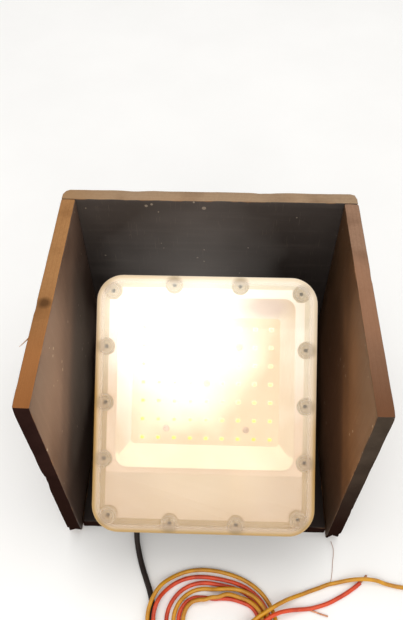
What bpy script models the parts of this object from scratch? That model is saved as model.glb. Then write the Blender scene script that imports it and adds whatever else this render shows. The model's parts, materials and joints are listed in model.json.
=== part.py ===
"""LED floodlight that tilts on a steel U bracket inside a hood of four plywood boards.

Metres, +Z up. The hood stands on Z = 0 and opens towards -Y and upwards. The origin is under the
middle of the box round hood and lamp. The lamp is modelled in a frame of its own, with X across,
Y up its face, Z out of its face and its origin on the tilt axis. An empty puts it in its place.
"""

import math

import bmesh
import bpy
import numpy as np
from mathutils import Matrix, Vector

# Clearance between neighbouring solids, and round a shank in its hole
GAP = 0.0003

# Hood boards
HOOD_WIDTH = 0.248
HOOD_HEIGHT = 0.2313
SIDE_BOARD_LENGTH = 0.200
BOARD_THICKNESS = 0.012
BASE_SET_BACK = 0.0065
BOARD_EDGE = 0.0007

# Tilt axis of the lamp, from the hood's front edge and from the floor
TILT = math.radians(36.5)
PIVOT_FROM_FRONT = 0.0835
PIVOT_HEIGHT = 0.1062
FACE_TO_PIVOT = 0.042

# Front lens
LENS_WIDTH = 0.180
LENS_HEIGHT = 0.2085
LENS_RADIUS = 0.0215
LENS_EDGE = 0.0025
LENS_EDGE_BREAK = 0.0008
LENS_DEPTH = 0.010
LENS_PLATE = 0.003
LENS_SKIRT = 0.0025
BOSS_RADIUS = 0.0045
BOSS_SIDE_INSET = 0.0085
BOSS_END_INSET = 0.0075
BOSS_CORNER_INSET = 0.0130
BOSS_SIDE_SPACING = 0.0455
BOSS_END_SPACING = 0.054
LENS_SCREW_RADIUS = 0.0015
LENS_SCREW_HEAD_RADIUS = 0.003
LENS_SCREW_HEAD_HEIGHT = 0.002
LENS_SCREW_BITE = 0.005

# Rear housing
GASKET_THICKNESS = 0.0015
GASKET_WIDTH = 0.0124
FLANGE_THICKNESS = 0.003
FLANGE_WIDTH = 0.015
FLANGE_INSET = 0.001
HOUSING_DEPTH = 0.030
HOUSING_WALL = 0.003
HOUSING_RADIUS = 0.014
FIN_COUNT = 9
FIN_SPACING = 0.012
FIN_THICKNESS = 0.0024
FIN_HEIGHT = 0.0075
FIN_BOTTOM = -0.064
FIN_TOP = 0.084
LUG_INNER = 0.060
LUG_THICKNESS = 0.010
LUG_RADIUS = 0.011

# Light board, its chips and the tray round it
BOARD_CENTRE_Y = 0.0175
LIGHT_BOARD_WIDTH = 0.132
LIGHT_BOARD_HEIGHT = 0.116
LIGHT_BOARD_THICKNESS = 0.0016
PAD_THICKNESS = 0.001
PAD_INSET = 0.003
CHIP_COLUMNS = 9
CHIP_ROWS = 7
CHIP_GRID_CENTRE = (0.0010, 0.0156)
CHIP_PITCH_X = 0.0134
CHIP_PITCH_Y = 0.0154
CHIP_WIDTH = 0.0035
CHIP_LENGTH = 0.0028
CHIP_THICKNESS = 0.0008
CHIP_FREE_SPOTS = ((2, 5), (6, 5), (4, 3))
BOARD_SCREW_RADIUS = 0.0014
BOARD_SCREW_HEAD_RADIUS = 0.0028
BOARD_SCREW_HEAD_HEIGHT = 0.0014
TRAY_PLAY = 0.0006
TRAY_BOTTOM = -0.0574
TRAY_LIP = 0.0034
TRAY_SHEET = 0.001
TRAY_FLOOR_WIDTH = 0.124
TRAY_FLOOR_HEIGHT = 0.107
TRAY_RADIUS = 0.012

# Driver below the light board, under its own cover
COVER_TOP = TRAY_BOTTOM - GAP
COVER_THICKNESS = 0.0015
COVER_RADIUS = 0.0125
DRIVER_LENGTH = 0.096
DRIVER_HEIGHT = 0.026
DRIVER_THICKNESS = 0.0016
DRIVER_CENTRE = (0.010, -0.0725)
DRIVER_HOLE_INSET = 0.0045
STANDOFF_HEIGHT = 0.003
STANDOFF_RADIUS = 0.003
DRIVER_SCREW_RADIUS = 0.0012
DRIVER_SCREW_HEAD_RADIUS = 0.0024
DRIVER_SCREW_HEAD_HEIGHT = 0.0014
CAPACITOR_FROM_CENTRE = -0.012
CAPACITOR_RADIUS = 0.004
CAPACITOR_LENGTH = 0.016
CHOKE_FROM_CENTRE = 0.020
CHOKE_RADIUS = 0.007
CHOKE_BORE = 0.0025
CHOKE_HEIGHT = 0.006
FUSE_FROM_CENTRE = -0.022
FUSE_RADIUS = 0.0025
FUSE_LENGTH = 0.014
TERMINAL_SIZE = (0.012, 0.014, 0.0065)
SUPPLY_WIRE_RADIUS = 0.0013
LIGHT_WIRE_RADIUS = 0.0009
EARTH_PLACE = (0.0645, -0.070)
EARTH_SCREW_RADIUS = 0.002
EARTH_HEAD_RADIUS = 0.0035
EARTH_HEAD_HEIGHT = 0.0025
EARTH_SCREW_DEPTH = 0.0016
VENT_PLACE = (0.060, -0.082)
VENT_RADIUS = 0.0035
VENT_HEAD_RADIUS = 0.006
VENT_HEAD_HEIGHT = 0.003

# Cable gland in the back of the housing
GLAND_PLACE = (-0.060, -0.076)
GLAND_THREAD_RADIUS = 0.0056
GLAND_FLANGE_RADIUS = 0.0086
GLAND_FLANGE_HEIGHT = 0.005
GLAND_NECK_LENGTH = 0.0055
GLAND_INNER_LENGTH = 0.0055
GLAND_LOCKNUT_HEIGHT = 0.004
GLAND_SEAL_HEIGHT = 0.0023
GLAND_DOME_RADIUS = 0.0078
GLAND_DOME_TIP_RADIUS = 0.006
GLAND_DOME_WALL = 0.0016

# Bracket and tilt bolts
BRACKET_THICKNESS = 0.003
BRACKET_ARM_WIDTH = 0.022
BRACKET_LEG_WIDTH = 0.026
BRACKET_SCREW_X = 0.030
BRACKET_CENTRE_HOLE_RADIUS = 0.005
BRACKET_SCREW_RADIUS = 0.002
BRACKET_SCREW_HEAD_RADIUS = 0.0042
BRACKET_SCREW_HEAD_HEIGHT = 0.0028
BRACKET_SCREW_BITE = 0.0085
TILT_BOLT_RADIUS = 0.004
TILT_BOLT_HEAD_RADIUS = 0.0075
TILT_BOLT_HEAD_HEIGHT = 0.0053
SPRING_WASHER_RADIUS = 0.0068
SPRING_WASHER_THICKNESS = 0.0016
TILT_BOLT_SHORTFALL = 0.001

# Cords
LEAD_DIAMETER = 0.005
LEAD_STEP = 0.011
WIRE_DIAMETER = 0.0035
WIRE_STEP = 0.0085
WIRE_CLEARANCE = 0.0005
HUMP_GRADE = 0.34
COIL_CENTRE = Vector((0.008, -0.074))
LOOP_MEAN = 0.0499
LOOP_STRETCH = 0.0065
LOOP_TURN = math.radians(-9.5)
POINTS_PER_LOOP = 24
SPLICE_LENGTH = 0.022
TIE_ANGLE = math.radians(346)
TIE_RADIUS = 0.0008
TIE_SLACK = 0.0006

# The coils run anticlockwise. Each station is the angle travelled, in degrees, and how far the
# wire then lies inside the outer loop. They meet at the tie and spread on the other side.
RED_STATIONS = (
    (251, -0.0171), (340, 0.0046), (372, 0.0046), (450, 0.0062), (532, 0.0078), (620, 0.0058),
    (700, 0.0092), (732, 0.0092), (810, 0.0110), (892, 0.0187), (980, 0.0170), (1060, 0.0138),
    (1092, 0.0138), (1130, 0.0205), (1162, 0.0232), (1195, 0.0245), (1252, 0.0290), (1370, 0.0268),
)
YELLOW_STATIONS = (
    (251, -0.0217), (340, 0.0), (372, 0.0), (450, 0.0), (532, 0.0028), (620, 0.0005),
    (700, 0.0069), (732, 0.0069), (810, 0.0160), (892, 0.0248), (980, 0.0225), (1060, 0.0115),
    (1092, 0.0115), (1130, 0.0171), (1162, 0.0230), (1195, 0.0278), (1252, 0.0330), (1364, 0.0322),
)

# Route points chosen by hand, from the middle of the hood's front edge on the floor
BLACK_LEAD_POINTS = (
    (-0.0600, 0.0305, 0.0405), (-0.0600, 0.0285, 0.0315), (-0.0600, 0.0225, 0.0245),
    (-0.0602, 0.0135, 0.0196), (-0.0604, 0.0040, 0.0160), (-0.0600, -0.0055, 0.0103),
    (-0.0580, -0.0155, 0.0048), (-0.0540, -0.0280, 0.0025), (-0.0475, -0.0440, 0.0025),
    (-0.0435, -0.0550, 0.0025), (-0.0420, -0.0660, 0.0025), (-0.0435, -0.0760, 0.0025),
    (-0.0475, -0.0870, 0.0025), (-0.0505, -0.0990, 0.0025), (-0.0490, -0.1110, 0.0025),
)
RED_LEAD_POINTS = (
    (0.0330, -0.0858), (0.0405, -0.0818), (0.0475, -0.0772), (0.0530, -0.0732), (0.0580, -0.0697),
    (0.0640, -0.0663), (0.0740, -0.0630), (0.0840, -0.0610), (0.0960, -0.0590), (0.1090, -0.0550),
    (0.1210, -0.0490), (0.1310, -0.0430), (0.1390, -0.0370), (0.1455, -0.0305),
)
YELLOW_LEAD_POINTS = (
    (0.0295, -0.0815), (0.0365, -0.0777), (0.0430, -0.0733), (0.0490, -0.0692), (0.0545, -0.0657),
    (0.0605, -0.0620), (0.0670, -0.0580), (0.0750, -0.0535), (0.0900, -0.0470), (0.1040, -0.0420),
    (0.1120, -0.0390), (0.1280, -0.0360), (0.1440, -0.0350), (0.1550, -0.0360), (0.1660, -0.0385),
    (0.1770, -0.0400), (0.1900, -0.0400), (0.2040, -0.0430), (0.2170, -0.0500),
)

# Places that follow from the sizes above
LENS_REACH = (
    (LENS_HEIGHT / 2 - LENS_EDGE_BREAK) * math.cos(TILT)
    + (FACE_TO_PIVOT - LENS_EDGE_BREAK) * math.sin(TILT) - PIVOT_FROM_FRONT
)
HOOD_DEPTH = SIDE_BOARD_LENGTH + BOARD_THICKNESS
FRONT_Y = (LENS_REACH - HOOD_DEPTH) / 2
PIVOT = Vector((0.0, FRONT_Y + PIVOT_FROM_FRONT, PIVOT_HEIGHT))
LENS_BACK = FACE_TO_PIVOT - LENS_DEPTH
GASKET_FRONT = LENS_BACK - GAP
FLANGE_FRONT = GASKET_FRONT - GASKET_THICKNESS - GAP
FLANGE_BACK = FLANGE_FRONT - FLANGE_THICKNESS
HOUSING_BACK = FACE_TO_PIVOT - HOUSING_DEPTH
HOUSING_FLOOR = HOUSING_BACK + HOUSING_WALL
PAD_BACK = HOUSING_FLOOR + GAP
LIGHT_BOARD_BACK = PAD_BACK + PAD_THICKNESS + GAP
LIGHT_BOARD_FRONT = LIGHT_BOARD_BACK + LIGHT_BOARD_THICKNESS
LIP_BACK = FLANGE_FRONT + GAP
DRIVER_BACK = HOUSING_FLOOR + STANDOFF_HEIGHT + GAP
DRIVER_FRONT = DRIVER_BACK + DRIVER_THICKNESS
TRAY_WIDTH = LENS_WIDTH - 2 * (FLANGE_INSET + GASKET_WIDTH + TRAY_PLAY)
TRAY_TOP = LENS_HEIGHT / 2 - FLANGE_INSET - GASKET_WIDTH - TRAY_PLAY
COVER_BOTTOM = -TRAY_TOP
OPENING_WIDTH = LENS_WIDTH - 2 * (FLANGE_INSET + FLANGE_WIDTH)
OPENING_HEIGHT = LENS_HEIGHT - 2 * (FLANGE_INSET + FLANGE_WIDTH)
ARM_INNER = LUG_INNER + LUG_THICKNESS + GAP
LEG_BOTTOM = BOARD_THICKNESS + GAP
LEG_TOP = LEG_BOTTOM + BRACKET_THICKNESS
GLAND_TIP = GAP + GLAND_FLANGE_HEIGHT + GLAND_NECK_LENGTH + GLAND_SEAL_HEIGHT + 2 * GAP + GLAND_DOME_WALL


# Scene and materials


def clear_scene():
    for item in list(bpy.data.objects):
        bpy.data.objects.remove(item, do_unlink=True)


def make_material(name, colour, roughness, metallic=0.0):
    made = bpy.data.materials.new(name)
    made.use_nodes = True
    shader = made.node_tree.nodes["Principled BSDF"]
    shader.inputs["Base Color"].default_value = (*colour, 1.0)
    shader.inputs["Roughness"].default_value = roughness
    shader.inputs["Metallic"].default_value = metallic
    made.diffuse_color = (*colour, 1.0)
    return made


# Shapes


def add_object(name, shape, finish, parent=None):
    """Turns a bmesh into a named object."""
    bmesh.ops.recalc_face_normals(shape, faces=shape.faces)
    mesh = bpy.data.meshes.new(name)
    shape.to_mesh(mesh)
    shape.free()
    if finish is not None:
        mesh.materials.append(finish)
    item = bpy.data.objects.new(name, mesh)
    bpy.context.scene.collection.objects.link(item)
    item.parent = parent
    return item


def add_copies(name, shape, finish, places, parent=None, turns=None):
    """Places the same shape once at each point, as separate numbered objects with one mesh."""
    first = add_object(name + "_1", shape, finish, parent)
    for number, place in enumerate(places, 1):
        item = first
        if number > 1:
            item = bpy.data.objects.new(f"{name}_{number}", first.data)
            bpy.context.scene.collection.objects.link(item)
            item.parent = parent
        item.location = place
        item.rotation_euler.z = turns[number - 1] if turns else 0.0


def box_into(shape, low, high):
    size = Vector(high) - Vector(low)
    middle = (Vector(high) + Vector(low)) / 2
    placed = Matrix.Translation(middle) @ Matrix.Diagonal((*size, 1.0))
    bmesh.ops.create_cube(shape, size=1.0, matrix=placed)


def circle_points(radius, height, sides):
    angles = [2 * math.pi * i / sides for i in range(sides)]
    return [Vector((radius * math.cos(angle), radius * math.sin(angle), height)) for angle in angles]


def turned_into(shape, profile, place, direction, sides=12):
    """Turned solid from (radius, distance along the axis) pairs that start and end on the axis."""
    spin = Vector((0, 0, 1)).rotation_difference(Vector(direction)).to_matrix().to_4x4()
    placed = Matrix.Translation(Vector(place)) @ spin
    rings = []
    for radius, height in profile:
        if radius == 0:
            rings.append([shape.verts.new(placed @ Vector((0, 0, height)))])
            continue
        rings.append([shape.verts.new(placed @ point) for point in circle_points(radius, height, sides)])
    for near, far in zip(rings, rings[1:]):
        skin_between(shape, near, far)


def rod_into(shape, radius, length, place, direction, sides=12):
    turned_into(shape, ((0, 0), (radius, 0), (radius, length), (0, length)), place, direction, sides)


def tube_into(shape, profile, place, direction, sides=12):
    """Turned ring from a closed outline of (radius, distance along the axis) pairs off the axis."""
    spin = Vector((0, 0, 1)).rotation_difference(Vector(direction)).to_matrix().to_4x4()
    placed = Matrix.Translation(Vector(place)) @ spin
    rings = []
    for radius, height in profile:
        rings.append([shape.verts.new(placed @ point) for point in circle_points(radius, height, sides)])
    for near, far in zip(rings, rings[1:] + rings[:1]):
        skin_between(shape, near, far)


def skin_between(shape, near, far):
    """Faces between two rings of points, or between a ring and a point."""
    count = max(len(near), len(far))
    for i in range(count):
        following = (i + 1) % count
        if len(near) == 1:
            shape.faces.new((near[0], far[following], far[i]))
        elif len(far) == 1:
            shape.faces.new((near[i], near[following], far[0]))
        else:
            shape.faces.new((near[i], near[following], far[following], far[i]))


def rounded_outline(width, height, radius, level, centre_y=0.0, corner_steps=5):
    """Points round a rectangle with rounded corners, at one level of the lamp's frame."""
    points = []
    for corner, (side_x, side_y) in enumerate(((1, 1), (-1, 1), (-1, -1), (1, -1))):
        middle = Vector((
            side_x * (width / 2 - radius), centre_y + side_y * (height / 2 - radius), level,
        ))
        for i in range(corner_steps + 1):
            angle = math.pi / 2 * (corner + i / corner_steps)
            points.append(middle + Vector((radius * math.cos(angle), radius * math.sin(angle), 0)))
    return points


def loft_into(shape, outlines, ring=False):
    """Skins outlines of equal length. The ends are capped, or joined to each other for a ring."""
    rows = [[shape.verts.new(point) for point in outline] for outline in outlines]
    for near, far in zip(rows, rows[1:] + (rows[:1] if ring else [])):
        skin_between(shape, near, far)
    if not ring:
        shape.faces.new(rows[0])
        shape.faces.new(list(reversed(rows[-1])))


def plate_into(shape, width, height, radius, low, high, centre_y=0.0):
    loft_into(shape, [
        rounded_outline(width, height, radius, low, centre_y),
        rounded_outline(width, height, radius, high, centre_y),
    ])


def boolean(target, tool, operation):
    tool.hide_render = True
    tool.display_type = "WIRE"
    step = target.modifiers.new(tool.name, "BOOLEAN")
    step.operation = operation
    step.object = tool
    step.solver = "EXACT"


def drill(target, name, places, radius, low, high):
    """Cuts round holes along the Z axis of the target's frame."""
    shape = bmesh.new()
    for x, y in places:
        rod_into(shape, radius, high - low, (x, y, low), (0, 0, 1))
    boolean(target, add_object(name, shape, None, target.parent), "DIFFERENCE")


def screw_into(shape, place, direction, head_radius, head_height, shank_radius, length, sides=12):
    """Headed fastener. The place is under the head, and it is driven in the direction given."""
    profile = (
        (0, -head_height), (head_radius, -head_height), (head_radius, 0),
        (shank_radius, 0), (shank_radius, length), (0, length),
    )
    turned_into(shape, profile, place, direction, sides)


def soften(item, width):
    step = item.modifiers.new("edges", "BEVEL")
    step.width = width
    step.segments = 1
    step.limit_method = "ANGLE"


# Hood


def build_hood(finishes):
    inner_half = HOOD_WIDTH / 2 - BOARD_THICKNESS
    back = FRONT_Y + SIDE_BOARD_LENGTH
    rear = FRONT_Y + HOOD_DEPTH
    boards = {
        "base_board": (
            (-inner_half + GAP, FRONT_Y + BASE_SET_BACK, 0),
            (inner_half - GAP, back - GAP, BOARD_THICKNESS),
        ),
        "rear_board": ((-HOOD_WIDTH / 2, back, 0), (HOOD_WIDTH / 2, rear, HOOD_HEIGHT)),
        "left_side_board": ((-HOOD_WIDTH / 2, FRONT_Y, 0), (-inner_half, back - GAP, HOOD_HEIGHT)),
        "right_side_board": ((inner_half, FRONT_Y, 0), (HOOD_WIDTH / 2, back - GAP, HOOD_HEIGHT)),
    }
    made = {}
    for name, (low, high) in boards.items():
        shape = bmesh.new()
        box_into(shape, low, high)
        board = add_object(name, shape, finishes["plywood"])
        soften(board, BOARD_EDGE)
        made[name] = board
    pilot_low = BOARD_THICKNESS - BRACKET_SCREW_BITE - GAP
    places = [(side * BRACKET_SCREW_X, PIVOT.y) for side in (-1, 1)]
    drill(
        made["base_board"], "pilot_holes", places, BRACKET_SCREW_RADIUS + GAP,
        pilot_low, BOARD_THICKNESS + GAP,
    )


# Bracket


def build_bracket(finishes):
    outer = ARM_INNER + BRACKET_THICKNESS
    shape = bmesh.new()
    half_leg = BRACKET_LEG_WIDTH / 2
    box_into(shape, (-outer, PIVOT.y - half_leg, LEG_BOTTOM), (outer, PIVOT.y + half_leg, LEG_TOP))
    bracket = add_object("u_bracket", shape, finishes["painted_steel"])
    arms = bmesh.new()
    half_arm = BRACKET_ARM_WIDTH / 2
    for low in (ARM_INNER, -outer):
        outline = [(PIVOT.y + half_arm, LEG_BOTTOM)]
        for i in range(13):
            angle = math.pi * i / 12
            outline.append((PIVOT.y + half_arm * math.cos(angle), PIVOT.z + half_arm * math.sin(angle)))
        outline.append((PIVOT.y - half_arm, LEG_BOTTOM))
        loft_into(arms, [
            [Vector((low, y, z)) for y, z in outline],
            [Vector((low + BRACKET_THICKNESS, y, z)) for y, z in outline],
        ])
    boolean(bracket, add_object("bracket_arms", arms, None), "UNION")
    holes = bmesh.new()
    reach = outer + GAP
    radius = TILT_BOLT_RADIUS + GAP
    rod_into(holes, radius, 2 * reach, (-reach, PIVOT.y, PIVOT.z), (1, 0, 0))
    boolean(bracket, add_object("bracket_pivot_holes", holes, None), "DIFFERENCE")
    places = [(side * BRACKET_SCREW_X, PIVOT.y) for side in (-1, 1)]
    low, high = LEG_BOTTOM - GAP / 2, LEG_TOP + GAP
    drill(bracket, "bracket_screw_holes", places, BRACKET_SCREW_RADIUS + GAP, low, high)
    drill(bracket, "bracket_centre_hole", [(0, PIVOT.y)], BRACKET_CENTRE_HOLE_RADIUS, low, high)

    seat = LEG_TOP + GAP
    screw = bmesh.new()
    screw_into(
        screw, (0, 0, 0), (0, 0, -1), BRACKET_SCREW_HEAD_RADIUS, BRACKET_SCREW_HEAD_HEIGHT,
        BRACKET_SCREW_RADIUS, seat - BOARD_THICKNESS + BRACKET_SCREW_BITE,
    )
    add_copies("bracket_screw", screw, finishes["steel"], [(x, y, seat) for x, y in places])


# Lamp front


def lens_screw_places():
    """The fourteen screw places round the lens: three a side, two a short end and four corners."""
    side_x = LENS_WIDTH / 2 - BOSS_SIDE_INSET
    end_y = LENS_HEIGHT / 2 - BOSS_END_INSET
    corner_x = LENS_WIDTH / 2 - BOSS_CORNER_INSET
    corner_y = LENS_HEIGHT / 2 - BOSS_CORNER_INSET
    places = []
    for side in (-1, 1):
        places += [(side * side_x, row * BOSS_SIDE_SPACING) for row in (-1, 0, 1)]
        places += [(column * BOSS_END_SPACING / 2, side * end_y) for column in (-1, 1)]
        places += [(side * corner_x, end * corner_y) for end in (-1, 1)]
    return places


def lens_outline(inset, level):
    return rounded_outline(LENS_WIDTH - 2 * inset, LENS_HEIGHT - 2 * inset, LENS_RADIUS - inset, level)


def build_lens(lamp, finishes):
    shape = bmesh.new()
    loft_into(shape, [
        lens_outline(LENS_EDGE, FACE_TO_PIVOT),
        lens_outline(LENS_EDGE_BREAK, FACE_TO_PIVOT - LENS_EDGE_BREAK),
        lens_outline(0, FACE_TO_PIVOT - LENS_EDGE),
        lens_outline(0, LENS_BACK),
        lens_outline(LENS_SKIRT, LENS_BACK),
        lens_outline(LENS_SKIRT, FACE_TO_PIVOT - LENS_PLATE),
    ])
    lens = add_object("front_lens", shape, finishes["lens"], lamp)
    bosses = bmesh.new()
    places = lens_screw_places()
    length = LENS_DEPTH - LENS_PLATE / 2
    for x, y in places:
        rod_into(bosses, BOSS_RADIUS, length, (x, y, LENS_BACK), (0, 0, 1))
    boolean(lens, add_object("lens_bosses", bosses, None, lamp), "UNION")
    drill(
        lens, "lens_screw_bores", places, LENS_SCREW_RADIUS + GAP,
        LENS_BACK - GAP, LENS_BACK + LENS_SCREW_BITE + GAP,
    )

    inset = FLANGE_INSET + GASKET_WIDTH
    gasket_shape = bmesh.new()
    loft_into(gasket_shape, [
        lens_outline(FLANGE_INSET, GASKET_FRONT),
        lens_outline(FLANGE_INSET, GASKET_FRONT - GASKET_THICKNESS),
        rounded_outline(
            LENS_WIDTH - 2 * inset, LENS_HEIGHT - 2 * inset, TRAY_RADIUS, GASKET_FRONT - GASKET_THICKNESS
        ),
        rounded_outline(LENS_WIDTH - 2 * inset, LENS_HEIGHT - 2 * inset, TRAY_RADIUS, GASKET_FRONT),
    ], ring=True)
    gasket = add_object("lens_gasket", gasket_shape, finishes["seal"], lamp)
    drill(
        gasket, "gasket_holes", places, LENS_SCREW_RADIUS + 2 * GAP,
        GASKET_FRONT - GASKET_THICKNESS - GAP, GASKET_FRONT + GAP,
    )

    screw = bmesh.new()
    seat = FLANGE_BACK - GAP
    screw_into(
        screw, (0, 0, 0), (0, 0, 1), LENS_SCREW_HEAD_RADIUS, LENS_SCREW_HEAD_HEIGHT,
        LENS_SCREW_RADIUS, LENS_BACK + LENS_SCREW_BITE - seat, 10,
    )
    add_copies("lens_screw", screw, finishes["steel"], [(x, y, seat) for x, y in places], lamp)


# Rear housing


def light_board_screw_places():
    """Three screws take the place of a chip, and two stand between chips low on the board."""
    places = [chip_place(column, row) for column, row in CHIP_FREE_SPOTS]
    for column in (1.5, 6.5):
        places.append(chip_place(column, 0.5))
    return places


def driver_screw_places():
    """The driver board has a screw at its upper left and one at its lower right."""
    x = DRIVER_LENGTH / 2 - DRIVER_HOLE_INSET
    y = DRIVER_HEIGHT / 2 - DRIVER_HOLE_INSET
    return [(DRIVER_CENTRE[0] + side * x, DRIVER_CENTRE[1] - side * y) for side in (-1, 1)]


def build_housing(lamp, finishes):
    wall = HOUSING_WALL
    opening = (OPENING_WIDTH, OPENING_HEIGHT, HOUSING_RADIUS - wall)
    body = (OPENING_WIDTH + 2 * wall, OPENING_HEIGHT + 2 * wall, HOUSING_RADIUS)
    shape = bmesh.new()
    loft_into(shape, [
        rounded_outline(*opening, HOUSING_FLOOR),
        rounded_outline(*opening, FLANGE_FRONT),
        lens_outline(FLANGE_INSET, FLANGE_FRONT),
        lens_outline(FLANGE_INSET, FLANGE_BACK),
        rounded_outline(*body, FLANGE_BACK),
        rounded_outline(*body, HOUSING_BACK),
    ])
    housing = add_object("rear_housing", shape, finishes["cast_housing"], lamp)

    added = bmesh.new()
    root = HOUSING_BACK + wall / 2
    for i in range(FIN_COUNT):
        x = (i - (FIN_COUNT - 1) / 2) * FIN_SPACING
        box_into(
            added, (x - FIN_THICKNESS / 2, FIN_BOTTOM, HOUSING_BACK - FIN_HEIGHT),
            (x + FIN_THICKNESS / 2, FIN_TOP, root),
        )
    for low in (LUG_INNER, -LUG_INNER - LUG_THICKNESS):
        outline = [(LUG_RADIUS, root)]
        for i in range(13):
            angle = -math.pi * i / 12
            outline.append((LUG_RADIUS * math.cos(angle), LUG_RADIUS * math.sin(angle)))
        outline.append((-LUG_RADIUS, root))
        loft_into(added, [
            [Vector((low, y, z)) for y, z in outline],
            [Vector((low + LUG_THICKNESS, y, z)) for y, z in outline],
        ])
    boolean(housing, add_object("housing_fins_and_lugs", added, None, lamp), "UNION")
    posts = bmesh.new()
    height = STANDOFF_HEIGHT + wall / 2
    for x, y in driver_screw_places():
        rod_into(posts, STANDOFF_RADIUS, height, (x, y, HOUSING_FLOOR - wall / 2), (0, 0, 1))
    boolean(housing, add_object("driver_standoffs", posts, None, lamp), "UNION")

    bore = bmesh.new()
    reach = LUG_INNER + LUG_THICKNESS + GAP
    radius = TILT_BOLT_RADIUS + GAP
    rod_into(bore, radius, 2 * reach, (-reach, 0, 0), (1, 0, 0))
    boolean(housing, add_object("lug_bores", bore, None, lamp), "DIFFERENCE")
    drill(
        housing, "flange_holes", lens_screw_places(), LENS_SCREW_RADIUS + GAP,
        FLANGE_BACK - GAP, FLANGE_FRONT + GAP,
    )
    below, above = HOUSING_BACK - GAP, HOUSING_FLOOR + GAP
    drill(housing, "gland_hole", [GLAND_PLACE], GLAND_THREAD_RADIUS + GAP, below, above)
    drill(housing, "vent_hole", [VENT_PLACE], VENT_RADIUS + GAP, below, above)
    blind = HOUSING_FLOOR - wall * 0.6
    drill(
        housing, "light_board_screw_bores", light_board_screw_places(), BOARD_SCREW_RADIUS + GAP,
        blind, above,
    )
    drill(housing, "earth_bore", [EARTH_PLACE], EARTH_SCREW_RADIUS + GAP, blind, above)
    drill(
        housing, "standoff_bores", driver_screw_places(), DRIVER_SCREW_RADIUS + GAP,
        HOUSING_FLOOR + GAP, HOUSING_FLOOR + STANDOFF_HEIGHT + GAP,
    )

    vent = bmesh.new()
    screw_into(
        vent, (*VENT_PLACE, HOUSING_BACK - GAP), (0, 0, 1), VENT_HEAD_RADIUS, VENT_HEAD_HEIGHT,
        VENT_RADIUS, wall + 2 * GAP,
    )
    add_object("breather_vent", vent, finishes["black_plastic"], lamp)
    earth = bmesh.new()
    screw_into(
        earth, (*EARTH_PLACE, HOUSING_FLOOR + GAP), (0, 0, -1), EARTH_HEAD_RADIUS, EARTH_HEAD_HEIGHT,
        EARTH_SCREW_RADIUS, EARTH_SCREW_DEPTH,
    )
    add_object("earth_screw", earth, finishes["brass"], lamp)


# Light board and tray


def chip_place(column, row):
    x = CHIP_GRID_CENTRE[0] + (column - (CHIP_COLUMNS - 1) / 2) * CHIP_PITCH_X
    y = CHIP_GRID_CENTRE[1] + (row - (CHIP_ROWS - 1) / 2) * CHIP_PITCH_Y
    return x, y


def build_light_board(lamp, finishes):
    screws_at = light_board_screw_places()
    pad_shape = bmesh.new()
    pad_width = LIGHT_BOARD_WIDTH - 2 * PAD_INSET
    pad_height = LIGHT_BOARD_HEIGHT - 2 * PAD_INSET
    box_into(
        pad_shape, (-pad_width / 2, BOARD_CENTRE_Y - pad_height / 2, PAD_BACK),
        (pad_width / 2, BOARD_CENTRE_Y + pad_height / 2, PAD_BACK + PAD_THICKNESS),
    )
    pad = add_object("thermal_pad", pad_shape, finishes["pad"], lamp)
    drill(pad, "pad_holes", screws_at, BOARD_SCREW_RADIUS + 2 * GAP, PAD_BACK - GAP, LIGHT_BOARD_BACK)

    board_shape = bmesh.new()
    box_into(
        board_shape, (-LIGHT_BOARD_WIDTH / 2, BOARD_CENTRE_Y - LIGHT_BOARD_HEIGHT / 2, LIGHT_BOARD_BACK),
        (LIGHT_BOARD_WIDTH / 2, BOARD_CENTRE_Y + LIGHT_BOARD_HEIGHT / 2, LIGHT_BOARD_FRONT),
    )
    board = add_object("light_board", board_shape, finishes["light_board"], lamp)
    chips = bmesh.new()
    for column in range(CHIP_COLUMNS):
        for row in range(CHIP_ROWS):
            if (column, row) in CHIP_FREE_SPOTS:
                continue
            x, y = chip_place(column, row)
            root = LIGHT_BOARD_FRONT - LIGHT_BOARD_THICKNESS / 2
            box_into(
                chips, (x - CHIP_WIDTH / 2, y - CHIP_LENGTH / 2, root),
                (x + CHIP_WIDTH / 2, y + CHIP_LENGTH / 2, LIGHT_BOARD_FRONT + CHIP_THICKNESS),
            )
    boolean(board, add_object("led_chips", chips, None, lamp), "UNION")
    drill(
        board, "light_board_holes", screws_at, BOARD_SCREW_RADIUS + GAP,
        LIGHT_BOARD_BACK - GAP, LIGHT_BOARD_FRONT + GAP,
    )

    screw = bmesh.new()
    seat = LIGHT_BOARD_FRONT + GAP
    screw_into(
        screw, (0, 0, 0), (0, 0, -1), BOARD_SCREW_HEAD_RADIUS, BOARD_SCREW_HEAD_HEIGHT,
        BOARD_SCREW_RADIUS, seat - HOUSING_FLOOR + HOUSING_WALL * 0.6 - GAP, 10,
    )
    add_copies("light_board_screw", screw, finishes["steel"], [(x, y, seat) for x, y in screws_at], lamp)


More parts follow.
